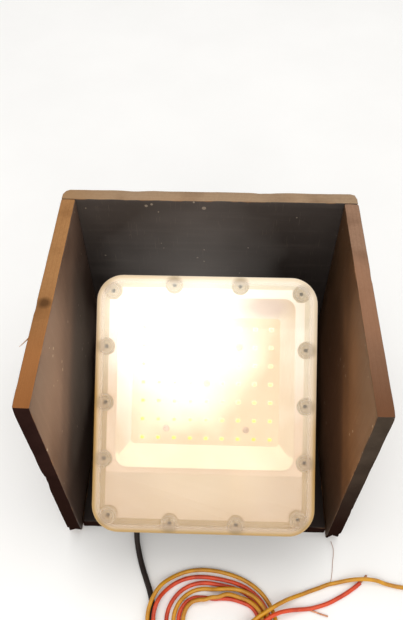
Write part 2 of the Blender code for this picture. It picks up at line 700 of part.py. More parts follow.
def build_tray(lamp, finishes):
    """Pressed tray whose lip lies on the flange and whose sides slope down to the light board."""
    height = TRAY_TOP - TRAY_BOTTOM
    middle = (TRAY_TOP + TRAY_BOTTOM) / 2
    top = LIP_BACK + TRAY_SHEET
    floor = LIGHT_BOARD_FRONT + GAP
    throat_width = OPENING_WIDTH - 2 * GAP
    throat_top = OPENING_HEIGHT / 2 - GAP
    throat_bottom = TRAY_BOTTOM + TRAY_LIP
    throat_height = throat_top - throat_bottom
    throat_middle = (throat_top + throat_bottom) / 2
    sheet = 2 * TRAY_SHEET
    floor_radius = TRAY_RADIUS / 4
    shape = bmesh.new()
    loft_into(shape, [
        rounded_outline(TRAY_WIDTH, height, TRAY_RADIUS, top, middle),
        rounded_outline(
            throat_width - sheet, throat_height - sheet, TRAY_RADIUS - sheet, top, throat_middle
        ),
        rounded_outline(TRAY_FLOOR_WIDTH, TRAY_FLOOR_HEIGHT, floor_radius, floor, BOARD_CENTRE_Y),
        rounded_outline(
            TRAY_FLOOR_WIDTH + sheet, TRAY_FLOOR_HEIGHT + sheet, floor_radius, floor, BOARD_CENTRE_Y
        ),
        rounded_outline(throat_width, throat_height, TRAY_RADIUS - TRAY_SHEET, LIP_BACK, throat_middle),
        rounded_outline(TRAY_WIDTH, height, TRAY_RADIUS, LIP_BACK, middle),
    ], ring=True)
    add_object("reflector_tray", shape, finishes["white_plastic"], lamp)


# Driver


def build_driver(lamp, finishes):
    x0, y0 = DRIVER_CENTRE
    shape = bmesh.new()
    box_into(
        shape, (x0 - DRIVER_LENGTH / 2, y0 - DRIVER_HEIGHT / 2, DRIVER_BACK),
        (x0 + DRIVER_LENGTH / 2, y0 + DRIVER_HEIGHT / 2, DRIVER_FRONT),
    )
    board = add_object("driver_board", shape, finishes["circuit_board"], lamp)
    places = driver_screw_places()
    drill(
        board, "driver_board_holes", places, DRIVER_SCREW_RADIUS + GAP,
        DRIVER_BACK - GAP, DRIVER_FRONT + GAP,
    )
    screw = bmesh.new()
    seat = DRIVER_FRONT + GAP
    screw_into(
        screw, (0, 0, 0), (0, 0, -1), DRIVER_SCREW_HEAD_RADIUS, DRIVER_SCREW_HEAD_HEIGHT,
        DRIVER_SCREW_RADIUS, seat - HOUSING_FLOOR - 2 * GAP, 8,
    )
    add_copies("driver_screw", screw, finishes["steel"], [(x, y, seat) for x, y in places], lamp)

    part = bmesh.new()
    place = (x0 + CAPACITOR_FROM_CENTRE, y0, seat + CAPACITOR_RADIUS * math.cos(math.pi / 12))
    rod_into(part, CAPACITOR_RADIUS, CAPACITOR_LENGTH, place, (1, 0, 0))
    add_object("driver_capacitor", part, finishes["capacitor"], lamp)
    part = bmesh.new()
    profile = ((CHOKE_BORE, 0), (CHOKE_RADIUS, 0), (CHOKE_RADIUS, CHOKE_HEIGHT), (CHOKE_BORE, CHOKE_HEIGHT))
    tube_into(part, profile, (x0 + CHOKE_FROM_CENTRE, y0, seat), (0, 0, 1), 14)
    add_object("driver_choke", part, finishes["copper"], lamp)
    part = bmesh.new()
    middle = y0 - FUSE_LENGTH / 2
    place = (x0 + FUSE_FROM_CENTRE, middle, seat + FUSE_RADIUS * math.cos(math.pi / 12))
    rod_into(part, FUSE_RADIUS, FUSE_LENGTH, place, (0, 1, 0))
    add_object("driver_fuse", part, finishes["fuse"], lamp)
    part = bmesh.new()
    width, depth, rise = TERMINAL_SIZE
    left = x0 - DRIVER_LENGTH / 2 + 2 * DRIVER_HOLE_INSET
    box_into(part, (left, y0 - depth / 2, seat), (left + width, y0 + depth / 2, seat + rise))
    terminal = add_object("terminal_block", part, finishes["terminal"], lamp)
    soften(terminal, TRAY_SHEET / 2)

    cover = bmesh.new()
    plate_into(
        cover, TRAY_WIDTH, COVER_TOP - COVER_BOTTOM, COVER_RADIUS, LIP_BACK, LIP_BACK + COVER_THICKNESS,
        (COVER_TOP + COVER_BOTTOM) / 2,
    )
    add_object("driver_cover", cover, finishes["white_plastic"], lamp)

    level = seat + rise / 2
    tail_top = Vector((*GLAND_PLACE, HOUSING_FLOOR + GLAND_INNER_LENGTH + 2 * GAP))
    entry = Vector((left - GAP, y0, level))
    run = smooth_route([
        tail_top,
        tail_top + Vector((0, 0, SUPPLY_WIRE_RADIUS * 2)),
        tail_top + Vector((SUPPLY_WIRE_RADIUS * 4, 0, SUPPLY_WIRE_RADIUS * 3.5)),
        entry - Vector((SUPPLY_WIRE_RADIUS * 8, 0, 0)),
        entry - Vector((SUPPLY_WIRE_RADIUS * 2, 0, 0)),
        entry,
    ], 3 * SUPPLY_WIRE_RADIUS)
    add_cord("supply_wire", [run], SUPPLY_WIRE_RADIUS, finishes["black_cord"], 1, lamp)
    exit_point = Vector((left + width / 2, y0 + depth / 2 + GAP, level))
    edge_y = BOARD_CENTRE_Y - LIGHT_BOARD_HEIGHT / 2 - GAP
    edge = Vector((left + width / 2, edge_y, LIGHT_BOARD_BACK + LIGHT_WIRE_RADIUS))
    step = 3 * LIGHT_WIRE_RADIUS
    away = Vector((0, step, 0))
    run = smooth_route([exit_point, exit_point + away, edge - 3 * away, edge - away, edge], step)
    add_cord("light_wire", [run], LIGHT_WIRE_RADIUS, finishes["red_wire"], 1, lamp)


# Gland


def build_gland(lamp, finishes):
    place = (*GLAND_PLACE, HOUSING_BACK)
    down = (0, 0, -1)
    bore = LEAD_DIAMETER / 2 + GAP
    thread = GLAND_THREAD_RADIUS
    inside = -HOUSING_WALL - GLAND_INNER_LENGTH
    flange_end = GAP + GLAND_FLANGE_HEIGHT
    neck_end = flange_end + GLAND_NECK_LENGTH
    shape = bmesh.new()
    tube_into(shape, (
        (bore, inside), (thread, inside), (thread, GAP), (GLAND_FLANGE_RADIUS, GAP),
        (GLAND_FLANGE_RADIUS, flange_end), (thread, flange_end), (thread, neck_end), (bore, neck_end),
    ), place, down)
    add_object("gland_body", shape, finishes["black_plastic"], lamp)

    shape = bmesh.new()
    near = -HOUSING_WALL - GAP
    far = near - GLAND_LOCKNUT_HEIGHT
    tube_into(shape, (
        (thread + GAP, near), (thread + GAP, far), (GLAND_FLANGE_RADIUS, far), (GLAND_FLANGE_RADIUS, near),
    ), place, down)
    add_object("gland_locknut", shape, finishes["black_plastic"], lamp)

    shape = bmesh.new()
    seal_start = neck_end + GAP
    seal_end = seal_start + GLAND_SEAL_HEIGHT
    tube_into(shape, (
        (bore, seal_start), (thread, seal_start), (thread, seal_end), (bore, seal_end),
    ), place, down)
    add_object("gland_seal", shape, finishes["seal"], lamp)

    shape = bmesh.new()
    roof = seal_end + GAP
    tube_into(shape, (
        (thread + GAP, flange_end + GAP), (thread + GAP, roof), (bore, roof), (bore, GLAND_TIP),
        (GLAND_DOME_TIP_RADIUS, GLAND_TIP), (GLAND_DOME_RADIUS, neck_end),
        (GLAND_DOME_RADIUS, flange_end + GAP),
    ), place, down)
    add_object("gland_nut", shape, finishes["black_plastic"], lamp)

    shape = bmesh.new()
    length = GLAND_TIP - inside + GAP
    radius = LEAD_DIAMETER / 2
    rod_into(shape, radius, length, (*GLAND_PLACE, HOUSING_BACK - GLAND_TIP), (0, 0, 1))
    add_object("lead_tail", shape, finishes["black_cord"], lamp)


# Tilt bolts


def build_tilt_bolts(lamp, finishes):
    """Bolts that clamp the bracket's arms to the threaded lugs, mirrored by half a turn."""
    washer_near = ARM_INNER + BRACKET_THICKNESS + GAP
    head_near = washer_near + SPRING_WASHER_THICKNESS + GAP
    bore = TILT_BOLT_RADIUS + GAP
    sides = [(0, 0, 0), (0, 0, 0)]
    turns = [math.pi, 0.0]
    bolt = bmesh.new()
    screw_into(
        bolt, (head_near, 0, 0), (-1, 0, 0), TILT_BOLT_HEAD_RADIUS, TILT_BOLT_HEAD_HEIGHT,
        TILT_BOLT_RADIUS, head_near - LUG_INNER - TILT_BOLT_SHORTFALL,
    )
    add_copies("tilt_bolt", bolt, finishes["steel"], sides, lamp, turns)
    washer = bmesh.new()
    width = SPRING_WASHER_THICKNESS
    profile = ((bore, 0), (SPRING_WASHER_RADIUS, 0), (SPRING_WASHER_RADIUS, width), (bore, width))
    tube_into(washer, profile, (washer_near, 0, 0), (1, 0, 0))
    add_copies("spring_washer", washer, finishes["steel"], sides, lamp, turns)


# Cords


def outer_loop(angle):
    """Distance of the outer loop from the middle of the coil, which is a little oval."""
    return LOOP_MEAN + LOOP_STRETCH * math.cos(2 * (angle - LOOP_TURN))


def inset_at(degrees, stations):
    for (start, first), (end, last) in zip(stations, stations[1:]):
        if degrees <= end:
            share = max(0.0, (degrees - start) / (end - start))
            return first + (last - first) * (0.5 - 0.5 * math.cos(math.pi * share))
    return stations[-1][1]


def coil_plan(stations):
    """Points of one coiled wire seen from above, with a straight stub at each end."""
    first, last = stations[0][0], stations[-1][0]
    steps = round((last - first) / 360 * POINTS_PER_LOOP)
    points = [coil_place(first + (last - first) * i / steps, stations) for i in range(steps + 1)]
    start = points[0] - heading(first, stations) * WIRE_DIAMETER
    end = points[-1] + leave_direction(stations) * WIRE_DIAMETER
    return [start] + points + [end]


def coil_place(degrees, stations):
    angle = math.radians(degrees)
    reach = outer_loop(angle) - inset_at(degrees, stations)
    return COIL_CENTRE + reach * Vector((math.cos(angle), math.sin(angle)))


def heading(degrees, stations):
    return (coil_place(degrees + 1, stations) - coil_place(degrees - 1, stations)).normalized()


def leave_direction(stations):
    """Direction of a coil's inner end, half way between its heading and the round of the loop."""
    degrees = stations[-1][0]
    angle = math.radians(degrees)
    around = Vector((-math.sin(angle), math.cos(angle)))
    return (heading(degrees, stations) + around).normalized()


def smooth_route(points, step):
    """Evenly spaced points on a smooth curve through the route's own points.

    The first and the last stretch stay straight, so that the cord meets its neighbours squarely.
    """
    nodes = np.array([tuple(point) for point in points], float)
    fine = []
    for i in range(1, len(nodes) - 2):
        before, start, end, after = nodes[i - 1:i + 3]
        for t in np.linspace(0, 1, 24, endpoint=False):
            fine.append(0.5 * (
                2 * start + (end - before) * t + (2 * before - 5 * start + 4 * end - after) * t ** 2
                + (3 * start - before - 3 * end + after) * t ** 3
            ))
    fine = np.array(fine + [nodes[-2]])
    travelled = np.concatenate([[0], np.cumsum(np.linalg.norm(np.diff(fine, axis=0), axis=1))])
    count = max(2, round(travelled[-1] / step))
    wanted = np.linspace(0, travelled[-1], count + 1)
    curve = np.column_stack([np.interp(wanted, travelled, fine[:, axis]) for axis in range(fine.shape[1])])
    return np.concatenate([nodes[:1], curve, nodes[-1:]])


def samples(points, spacing=0.001):
    points = np.array([tuple(point) for point in points], float)
    found = []
    for start, end in zip(points, points[1:]):
        count = max(2, math.ceil(np.linalg.norm(end - start) / spacing))
        found += [start + (end - start) * k / count for k in range(count)]
    return np.array(found + [points[-1]])


def rest_on(plan, radius, below):
    """Lays a route seen from above on the floor and on the tubes below it, in long low humps."""
    plan = np.array([tuple(point)[:2] for point in plan], float)
    height = np.full(len(plan), radius)
    tubes = [(samples(tube), tube_radius) for tube, tube_radius in below]
    for i in range(len(plan) - 1):
        run = samples(plan[i:i + 2])
        need = radius
        for tube, tube_radius in tubes:
            reach = radius + tube_radius + WIRE_CLEARANCE
            apart = np.linalg.norm(tube[None, :, :2] - run[:, None, :], axis=2)
            over = apart < reach
            if over.any():
                rise = tube[None, :, 2] + np.sqrt(np.maximum(reach ** 2 - apart ** 2, 0))
                need = max(need, rise[over].max())
        height[i:i + 2] = np.maximum(height[i:i + 2], need)
    travelled = np.concatenate([[0], np.cumsum(np.linalg.norm(np.diff(plan, axis=0), axis=1))])
    slope = height[None, :] - HUMP_GRADE * np.abs(travelled[:, None] - travelled[None, :])
    return np.column_stack([plan, slope.max(axis=1)])


def least_gap(tube, radius):
    """Least clear distance between turns of one tube, on points a millimetre apart."""
    points = samples(tube)
    travelled = np.concatenate([[0], np.cumsum(np.linalg.norm(np.diff(points, axis=0), axis=1))])
    apart = np.linalg.norm(points[:, None] - points[None], axis=2)
    apart[np.abs(travelled[:, None] - travelled[None]) < 8 * radius] = np.inf
    return apart.min() - 2 * radius


def length_of(points):
    return float(np.linalg.norm(np.diff(np.array([tuple(p) for p in points], float), axis=0), axis=1).sum())


def add_cord(name, routes, radius, finish, bevel_resolution, parent=None, closed=False):
    curve = bpy.data.curves.new(name, "CURVE")
    curve.dimensions = "3D"
    curve.bevel_depth = radius
    curve.bevel_resolution = bevel_resolution
    curve.use_fill_caps = not closed
    for route in routes:
        spline = curve.splines.new("POLY")
        spline.points.add(len(route) - 1)
        for point, place in zip(spline.points, route):
            point.co = (*place, 1.0)
        spline.use_cyclic_u = closed
    curve.materials.append(finish)
    item = bpy.data.objects.new(name, curve)
    bpy.context.scene.collection.objects.link(item)
    item.parent = parent
    return item


def on_floor(points):
    """Route points from the hood's front edge, in the world frame."""
    return [(point[0], point[1] + FRONT_Y, *point[2:]) for point in points]


def splice_ends():
    """Where the black lead meets the splice and where the coloured wires leave it, seen from above."""
    degrees = RED_STATIONS[0][0]
    direction = (heading(degrees, RED_STATIONS) + heading(degrees, YELLOW_STATIONS)).normalized()
    wires = (coil_place(degrees, RED_STATIONS) + coil_place(degrees, YELLOW_STATIONS)) / 2
    wires -= direction * (WIRE_DIAMETER + GAP)
    return wires - direction * SPLICE_LENGTH, wires


def lead_exit():
    """Point at the gland's tip and the direction in which the lead leaves, from the hood's front edge."""
    turn = Matrix.Rotation(TILT, 3, "X")
    tip = turn @ Vector((*GLAND_PLACE, HOUSING_BACK - GLAND_TIP - GAP))
    return tip + Vector((0, PIVOT_FROM_FRONT, PIVOT_HEIGHT)), turn @ Vector((0, 0, -1))


def build_cords(finishes):
    lead_radius = LEAD_DIAMETER / 2
    wire_radius = WIRE_DIAMETER / 2
    splice_start, splice_end = splice_ends()
    direction = (splice_end - splice_start).normalized()
    tip, out = lead_exit()
    arrive = splice_start - direction * GAP
    approach = arrive - direction * LEAD_DIAMETER
    black = smooth_route([
        tip, tip + out * LEAD_DIAMETER, *[Vector(point) for point in BLACK_LEAD_POINTS],
        Vector((*approach, lead_radius)), Vector((*arrive, lead_radius)),
    ], LEAD_STEP)
    add_cord("black_lead", [on_floor(black)], lead_radius, finishes["black_cord"], 3)

    across = Vector((math.cos(TIE_ANGLE), math.sin(TIE_ANGLE)))
    outer_side = outer_loop(TIE_ANGLE) + wire_radius + TIE_SLACK + TIE_RADIUS
    inner_side = outer_loop(TIE_ANGLE) - RED_STATIONS[-6][1] - wire_radius - TIE_SLACK - TIE_RADIUS
    tie_under = [
        Vector((*(COIL_CENTRE + across * outer_side), TIE_RADIUS)),
        Vector((*(COIL_CENTRE + across * inner_side), TIE_RADIUS)),
    ]

    laid = [(black, lead_radius), (tie_under, TIE_RADIUS)]
    red = rest_on(coil_plan(RED_STATIONS), wire_radius, laid)
    yellow = rest_on(coil_plan(YELLOW_STATIONS), wire_radius, laid + [(red, wire_radius)])
    for name, route, finish in (("red", red, "red_wire"), ("yellow", yellow, "yellow_wire")):
        add_cord(name + "_wire_coil", [on_floor(route)], wire_radius, finishes[finish], 1)
        print(f"{name} coil: least gap to itself {1000 * least_gap(route, wire_radius):.2f} mm")

    own_end = 8
    red_lead = lay_lead(
        red, RED_STATIONS, RED_LEAD_POINTS, [(red[:-own_end], wire_radius), (yellow, wire_radius)]
    )
    yellow_lead = lay_lead(
        yellow, YELLOW_STATIONS, YELLOW_LEAD_POINTS,
        [(red, wire_radius), (yellow[:-own_end], wire_radius), (red_lead, wire_radius)],
    )
    add_cord("red_wire_lead", [on_floor(red_lead)], wire_radius, finishes["red_wire"], 2)
    add_cord("yellow_wire_lead", [on_floor(yellow_lead)], wire_radius, finishes["yellow_wire"], 2)

    build_splice(splice_start, splice_end, finishes)
    near_tie = [
        point[2] for point in samples(yellow)
        if (Vector(point[:2]) - COIL_CENTRE).angle(across) < 3 * TIE_RADIUS / LOOP_MEAN
        and (Vector(point[:2]) - COIL_CENTRE).length < outer_side
    ]
    top = max(near_tie) + wire_radius + TIE_SLACK + TIE_RADIUS
    build_tie(across, inner_side, outer_side, top, finishes)
    for name, routes in (("red", (red, red_lead)), ("yellow", (yellow, yellow_lead)), ("black", (black,))):
        print(f"{name} cord: {sum(length_of(route) for route in routes):.3f} m")


def lay_lead(coil, stations, points, below):
    """Loose end of a wire, from its coil's inner end over the bundle and out to the right."""
    leave = leave_direction(stations)
    start = Vector(coil[-1][:2]) + leave * GAP
    plan = smooth_route([start, start + leave * WIRE_DIAMETER, *[Vector(p) for p in points]], WIRE_STEP)
    return rest_on(plan, WIRE_DIAMETER / 2, below)


def build_splice(start, end, finishes):
    """Taped joint, flat underneath because it lies on the floor."""
    direction = Vector((*(end - start).normalized(), 0))
    across = Vector((-direction.y, direction.x, 0))
    origin = Vector((*start, 0))
    stages = ((0.0, 0.0036, 0.0029), (0.18, 0.0058, 0.0036), (0.80, 0.0058, 0.0036), (1.0, 0.0052, 0.0031))
    sides = 14
    outlines = []
    for share, half_width, half_height in stages:
        ring = []
        for i in range(sides):
            angle = 2 * math.pi * i / sides
            offset = across * half_width * math.cos(angle)
            rise = Vector((0, 0, half_height * (1 + math.sin(angle))))
            ring.append(origin + direction * share * SPLICE_LENGTH + offset + rise)
        outlines.append([Vector((p.x, p.y + FRONT_Y, p.z)) for p in ring])
    shape = bmesh.new()
    loft_into(shape, outlines)
    add_object("splice_tape", shape, finishes["tape"])


def build_tie(across, inner, outer, top, finishes):
    """Thin closed tie round the bundle, in the upright plane through the coil's middle."""
    corner = 2 * TIE_RADIUS
    points = []
    middle_x = (inner + outer) / 2
    middle_z = (top + TIE_RADIUS) / 2
    for quarter, (side, rise) in enumerate(((1, 1), (-1, 1), (-1, -1), (1, -1))):
        centre_x = middle_x + side * ((outer - inner) / 2 - corner)
        centre_z = middle_z + rise * ((top - TIE_RADIUS) / 2 - corner)
        for i in range(4):
            angle = math.pi / 2 * (quarter + i / 3)
            plan = COIL_CENTRE + across * (centre_x + corner * math.cos(angle))
            points.append((plan.x, plan.y + FRONT_Y, centre_z + corner * math.sin(angle)))
    add_cord("coil_tie", [points], TIE_RADIUS, finishes["tie"], 1, closed=True)


def make_finishes():
    return {
        "plywood": make_material("plywood", (0.20, 0.13, 0.08), 0.6),
        "steel": make_material("steel", (0.55, 0.55, 0.55), 0.35, 1.0),
        "painted_steel": make_material("painted_steel", (0.30, 0.30, 0.31), 0.5, 0.3),
        "lens": make_material("lens", (0.93, 0.88, 0.76), 0.3),
        "seal": make_material("seal", (0.55, 0.55, 0.53), 0.7),
        "cast_housing": make_material("cast_housing", (0.35, 0.36, 0.37), 0.5, 0.4),
        "black_plastic": make_material("black_plastic", (0.03, 0.03, 0.03), 0.5),
        "brass": make_material("brass", (0.75, 0.58, 0.28), 0.35, 1.0),
        "pad": make_material("pad", (0.45, 0.50, 0.58), 0.8),
        "light_board": make_material("light_board", (0.90, 0.89, 0.85), 0.5),
        "chip": make_material("chip", (0.95, 0.80, 0.25), 0.4),
        "white_plastic": make_material("white_plastic", (0.92, 0.91, 0.88), 0.4),
        "circuit_board": make_material("circuit_board", (0.10, 0.30, 0.15), 0.5),
        "capacitor": make_material("capacitor", (0.05, 0.05, 0.12), 0.4),
        "copper": make_material("copper", (0.70, 0.38, 0.22), 0.4, 1.0),
        "fuse": make_material("fuse", (0.80, 0.80, 0.78), 0.3),
        "terminal": make_material("terminal", (0.10, 0.35, 0.15), 0.5),
        "black_cord": make_material("black_cord", (0.03, 0.02, 0.02), 0.5),
        "red_wire": make_material("red_wire", (0.62, 0.06, 0.02), 0.4),
        "yellow_wire": make_material("yellow_wire", (0.72, 0.40, 0.01), 0.4),
        "tape": make_material("tape", (0.02, 0.02, 0.02), 0.4),
        "tie": make_material("tie", (0.60, 0.58, 0.52), 0.5),
    }


def main():
    clear_scene()
    finishes = make_finishes()
    build_hood(finishes)
    build_bracket(finishes)
    lamp = bpy.data.objects.new("lamp_axis", None)
    bpy.context.scene.collection.objects.link(lamp)
    lamp.location = PIVOT
    lamp.rotation_euler = (TILT, 0, 0)
    build_lens(lamp, finishes)
    build_housing(lamp, finishes)
    build_light_board(lamp, finishes)
    build_tray(lamp, finishes)
    build_driver(lamp, finishes)
    build_gland(lamp, finishes)
    build_tilt_bolts(lamp, finishes)
    build_cords(finishes)


main()
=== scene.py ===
"""Floodlight in a plywood hood: the looks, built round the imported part."""

import json
import math

import bmesh
import bpy
import numpy as np
from mathutils import Matrix, Vector, noise

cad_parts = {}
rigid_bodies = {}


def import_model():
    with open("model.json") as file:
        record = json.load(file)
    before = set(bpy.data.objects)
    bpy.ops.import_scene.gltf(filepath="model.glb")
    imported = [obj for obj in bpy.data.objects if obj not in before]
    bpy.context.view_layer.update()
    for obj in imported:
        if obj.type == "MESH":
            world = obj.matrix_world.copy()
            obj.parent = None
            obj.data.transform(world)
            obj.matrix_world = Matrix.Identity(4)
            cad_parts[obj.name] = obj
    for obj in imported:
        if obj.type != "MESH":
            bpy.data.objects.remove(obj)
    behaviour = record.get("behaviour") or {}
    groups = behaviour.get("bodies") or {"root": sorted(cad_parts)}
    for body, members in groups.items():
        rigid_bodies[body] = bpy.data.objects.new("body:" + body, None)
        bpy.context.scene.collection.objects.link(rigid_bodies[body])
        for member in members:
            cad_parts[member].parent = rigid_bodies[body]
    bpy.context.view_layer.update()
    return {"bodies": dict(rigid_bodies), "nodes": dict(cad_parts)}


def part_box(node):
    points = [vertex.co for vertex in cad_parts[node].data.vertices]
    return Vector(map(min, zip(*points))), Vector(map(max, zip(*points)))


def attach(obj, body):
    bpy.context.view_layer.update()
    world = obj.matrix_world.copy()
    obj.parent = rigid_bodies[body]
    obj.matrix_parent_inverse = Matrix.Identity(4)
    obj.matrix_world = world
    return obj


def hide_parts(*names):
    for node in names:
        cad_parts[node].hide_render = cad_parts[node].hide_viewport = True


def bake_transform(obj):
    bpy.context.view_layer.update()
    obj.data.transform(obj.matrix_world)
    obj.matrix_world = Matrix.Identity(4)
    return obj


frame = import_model()
front_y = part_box("left_side_board")[0].y


# Red and yellow wires
# Two single-core wires with smooth plastic insulation leave the taped joint side by side.
# They are wound by hand into one loose coil, the yellow lying over the red, and held by a tie.

wire_diameter = 0.0035
half_wire = wire_diameter / 2
lead_diameter = 0.005
touch = 0.0003
tape_length = 0.022
tie_angle = math.radians(346)
tie_radius = 0.0008
tie_reach = 0.0138
coil_middle = Vector((0.008, -0.074))

# Places round the coil in degrees, each with how far inside the outer loop the wire lies there.
red_stations = (
    (251, -0.0171), (340, 0.0046), (372, 0.0046), (450, 0.0062), (532, 0.0078), (620, 0.0058),
    (700, 0.0092), (732, 0.0092), (810, 0.0110), (892, 0.0187), (980, 0.0170), (1060, 0.0138),
    (1092, 0.0138), (1130, 0.0205), (1162, 0.0232), (1195, 0.0245), (1252, 0.0290), (1370, 0.0268),
)
yellow_stations = (
    (251, -0.0217), (340, 0.0), (372, 0.0), (450, 0.0), (532, 0.0028), (620, 0.0005),
    (700, 0.0069), (732, 0.0069), (810, 0.0160), (892, 0.0248), (980, 0.0225), (1060, 0.0115),
    (1092, 0.0115), (1130, 0.0171), (1162, 0.0230), (1195, 0.0278), (1252, 0.0330), (1364, 0.0322),
)

# Points that the loose ends and the black lead pass, from the middle of the hood's front edge.
red_lead_points = (
    (0.0330, -0.0858), (0.0405, -0.0818), (0.0475, -0.0772), (0.0530, -0.0732), (0.0580, -0.0697),
    (0.0640, -0.0663), (0.0740, -0.0630), (0.0840, -0.0610), (0.0960, -0.0590), (0.1090, -0.0550),
    (0.1210, -0.0490), (0.1310, -0.0430), (0.1390, -0.0370), (0.1455, -0.0305),
)
yellow_lead_points = (
    (0.0295, -0.0815), (0.0365, -0.0777), (0.0430, -0.0733), (0.0490, -0.0692), (0.0545, -0.0657),
    (0.0605, -0.0620), (0.0670, -0.0580), (0.0750, -0.0535), (0.0900, -0.0470), (0.1040, -0.0420),
    (0.1120, -0.0390), (0.1280, -0.0360), (0.1440, -0.0350), (0.1550, -0.0360), (0.1660, -0.0385),
    (0.1770, -0.0400), (0.1900, -0.0400), (0.2040, -0.0430), (0.2170, -0.0500),
)
black_lead_points = (
    (-0.0600, 0.0305, 0.0405), (-0.0600, 0.0285, 0.0315), (-0.0600, 0.0225, 0.0245),
    (-0.0602, 0.0135, 0.0196), (-0.0604, 0.0040, 0.0160), (-0.0600, -0.0055, 0.0103),
    (-0.0580, -0.0155, 0.0048), (-0.0540, -0.0280, 0.0025), (-0.0475, -0.0440, 0.0025),
    (-0.0435, -0.0550, 0.0025), (-0.0420, -0.0660, 0.0025), (-0.0435, -0.0760, 0.0025),
    (-0.0475, -0.0870, 0.0025), (-0.0505, -0.0990, 0.0025), (-0.0490, -0.1110, 0.0025),
)
tilt = math.radians(36.5)
tilt_axis = Vector((0, 0.0835, 0.1062))
gland_tip = Vector((-0.060, -0.076, -0.0036))


def outer_loop(angle):
    """Distance of the outer loop, a slanting oval, from the middle of the coil."""
    mean = 0.0499
    flattening = 0.0065
    slant = math.radians(9.5)
    return mean + flattening * math.cos(2 * (angle + slant))


def inset_at(degrees, stations):
    """Inset between two stations, without a kink at either."""
    for (start, first), (end, last) in zip(stations, stations[1:]):
        if degrees <= end:
            share = max(0.0, (degrees - start) / (end - start))
            return first + (last - first) * (0.5 - 0.5 * math.cos(math.pi * share))
    return stations[-1][1]


def coil_place(degrees, stations):
    angle = math.radians(degrees)
    reach = outer_loop(angle) - inset_at(degrees, stations)
    return coil_middle + reach * Vector((math.cos(angle), math.sin(angle)))


def heading(degrees, stations):
    return (coil_place(degrees + 1, stations) - coil_place(degrees - 1, stations)).normalized()


def leave_direction(stations):
    """Direction in which a wire leaves the coil, halfway between its own and a round one."""
    angle = math.radians(stations[-1][0])
    around = Vector((-math.sin(angle), math.cos(angle)))
    return (heading(stations[-1][0], stations) + around).normalized()


def coil_plan(stations):
    """Route of a wire round the coil, seen from above, with a straight bit at each end."""
    degrees_a_step = 15
    first, last = stations[0][0], stations[-1][0]
    steps = round((last - first) / degrees_a_step)
    points = [coil_place(first + (last - first) * i / steps, stations) for i in range(steps + 1)]
    start = points[0] - heading(first, stations) * wire_diameter
    return [start] + points + [points[-1] + leave_direction(stations) * wire_diameter]


def between(before, start, end, after, t):
    """Point on the smooth curve through four points, between the middle two."""
    return 0.5 * (
        2 * start + (end - before) * t + (2 * before - 5 * start + 4 * end - after) * t ** 2
        + (3 * start - before - 3 * end + after) * t ** 3
    )


def path_steps(path):
    return np.linalg.norm(np.diff(path, axis=0), axis=1)


def travelled_along(path):
    return np.concatenate([[0], np.cumsum(path_steps(path))])


def as_rows(points, count=None):
    return np.array([tuple(point)[:count] for point in points], float)


def smooth_route(points, step):
    """Evenly spaced points on a smooth curve, with the first and the last stretch kept straight."""
    steps_between = 24
    nodes = as_rows(points)
    fine = []
    for i in range(1, len(nodes) - 2):
        shares = np.linspace(0, 1, steps_between, endpoint=False)
        fine += [between(*nodes[i - 1:i + 3], share) for share in shares]
    fine = np.array(fine + [nodes[-2]])
    travelled = travelled_along(fine)
    wanted = np.linspace(0, travelled[-1], max(2, round(travelled[-1] / step)) + 1)
    curve = np.column_stack([np.interp(wanted, travelled, fine[:, k]) for k in range(fine.shape[1])])
    return np.concatenate([nodes[:1], curve, nodes[-1:]])


def samples(points):
    """Points about a millimetre apart along a route."""
    spacing = 0.001
    points = as_rows(points)
    found = []
    for start, end in zip(points, points[1:]):
        count = max(2, math.ceil(np.linalg.norm(end - start) / spacing))
        found += [start + (end - start) * k / count for k in range(count)]
    return np.array(found + [points[-1]])


def rest_on(plan, radius, below):
    """Lays a route on the floor and on the wires below it, in long low humps."""
    clearance = 0.0005
    steepest = 0.34
    plan = as_rows(plan, 2)
    height = np.full(len(plan), radius)
    tubes = [(samples(tube), tube_radius) for tube, tube_radius in below]
    for i in range(len(plan) - 1):
        run = samples(plan[i:i + 2])
        need = radius
        for tube, tube_radius in tubes:
            reach = radius + tube_radius + clearance
            apart = np.linalg.norm(tube[None, :, :2] - run[:, None, :], axis=2)
            over = apart < reach
            if over.any():
                rise = tube[None, :, 2] + np.sqrt(np.maximum(reach ** 2 - apart ** 2, 0))
                need = max(need, rise[over].max())
        height[i:i + 2] = np.maximum(height[i:i + 2], need)
    travelled = travelled_along(plan)
    slope = height[None, :] - steepest * np.abs(travelled[:, None] - travelled[None, :])
    return np.column_stack([plan, slope.max(axis=1)])


def lay_lead(coil, stations, points, below):
    """Loose end of a wire, from where its coil stops."""
    point_distance = 0.0085
    leave = leave_direction(stations)
    start = Vector(coil[-1][:2]) + leave * touch
    route = [start, start + leave * wire_diameter, *[Vector(point) for point in points]]
    return rest_on(smooth_route(route, point_distance), half_wire, below)


def rounded_path(points):
    """The same route with its corners rounded, in the world frame."""
    points = as_rows(points)
    padded = np.concatenate([[2 * points[0] - points[1]], points, [2 * points[-1] - points[-2]]])
    fine = []
    for i in range(1, len(padded) - 2):
        fine += [between(*padded[i - 1:i + 3], share) for share in (0, 0.25, 0.5, 0.75)]
    fine = np.array(fine + [points[-1]])
    fine[:, 1] += front_y
    return fine


def in_scene(name, data):
    item = bpy.data.objects.new(name, data)
    bpy.context.scene.collection.objects.link(item)
    return item


def tube_curve(name, path, radius, finish, sides=4):
    curve = bpy.data.curves.new(name, "CURVE")
    curve.dimensions = "3D"
    curve.bevel_depth = radius
    curve.bevel_resolution = sides
    curve.use_fill_caps = True
    spline = curve.splines.new("POLY")
    spline.points.add(len(path) - 1)
    for point, spot in zip(spline.points, path):
        point.co = (*spot, 1.0)
    spline.use_smooth = True
    curve.materials.append(finish)
    return in_scene(name, curve)


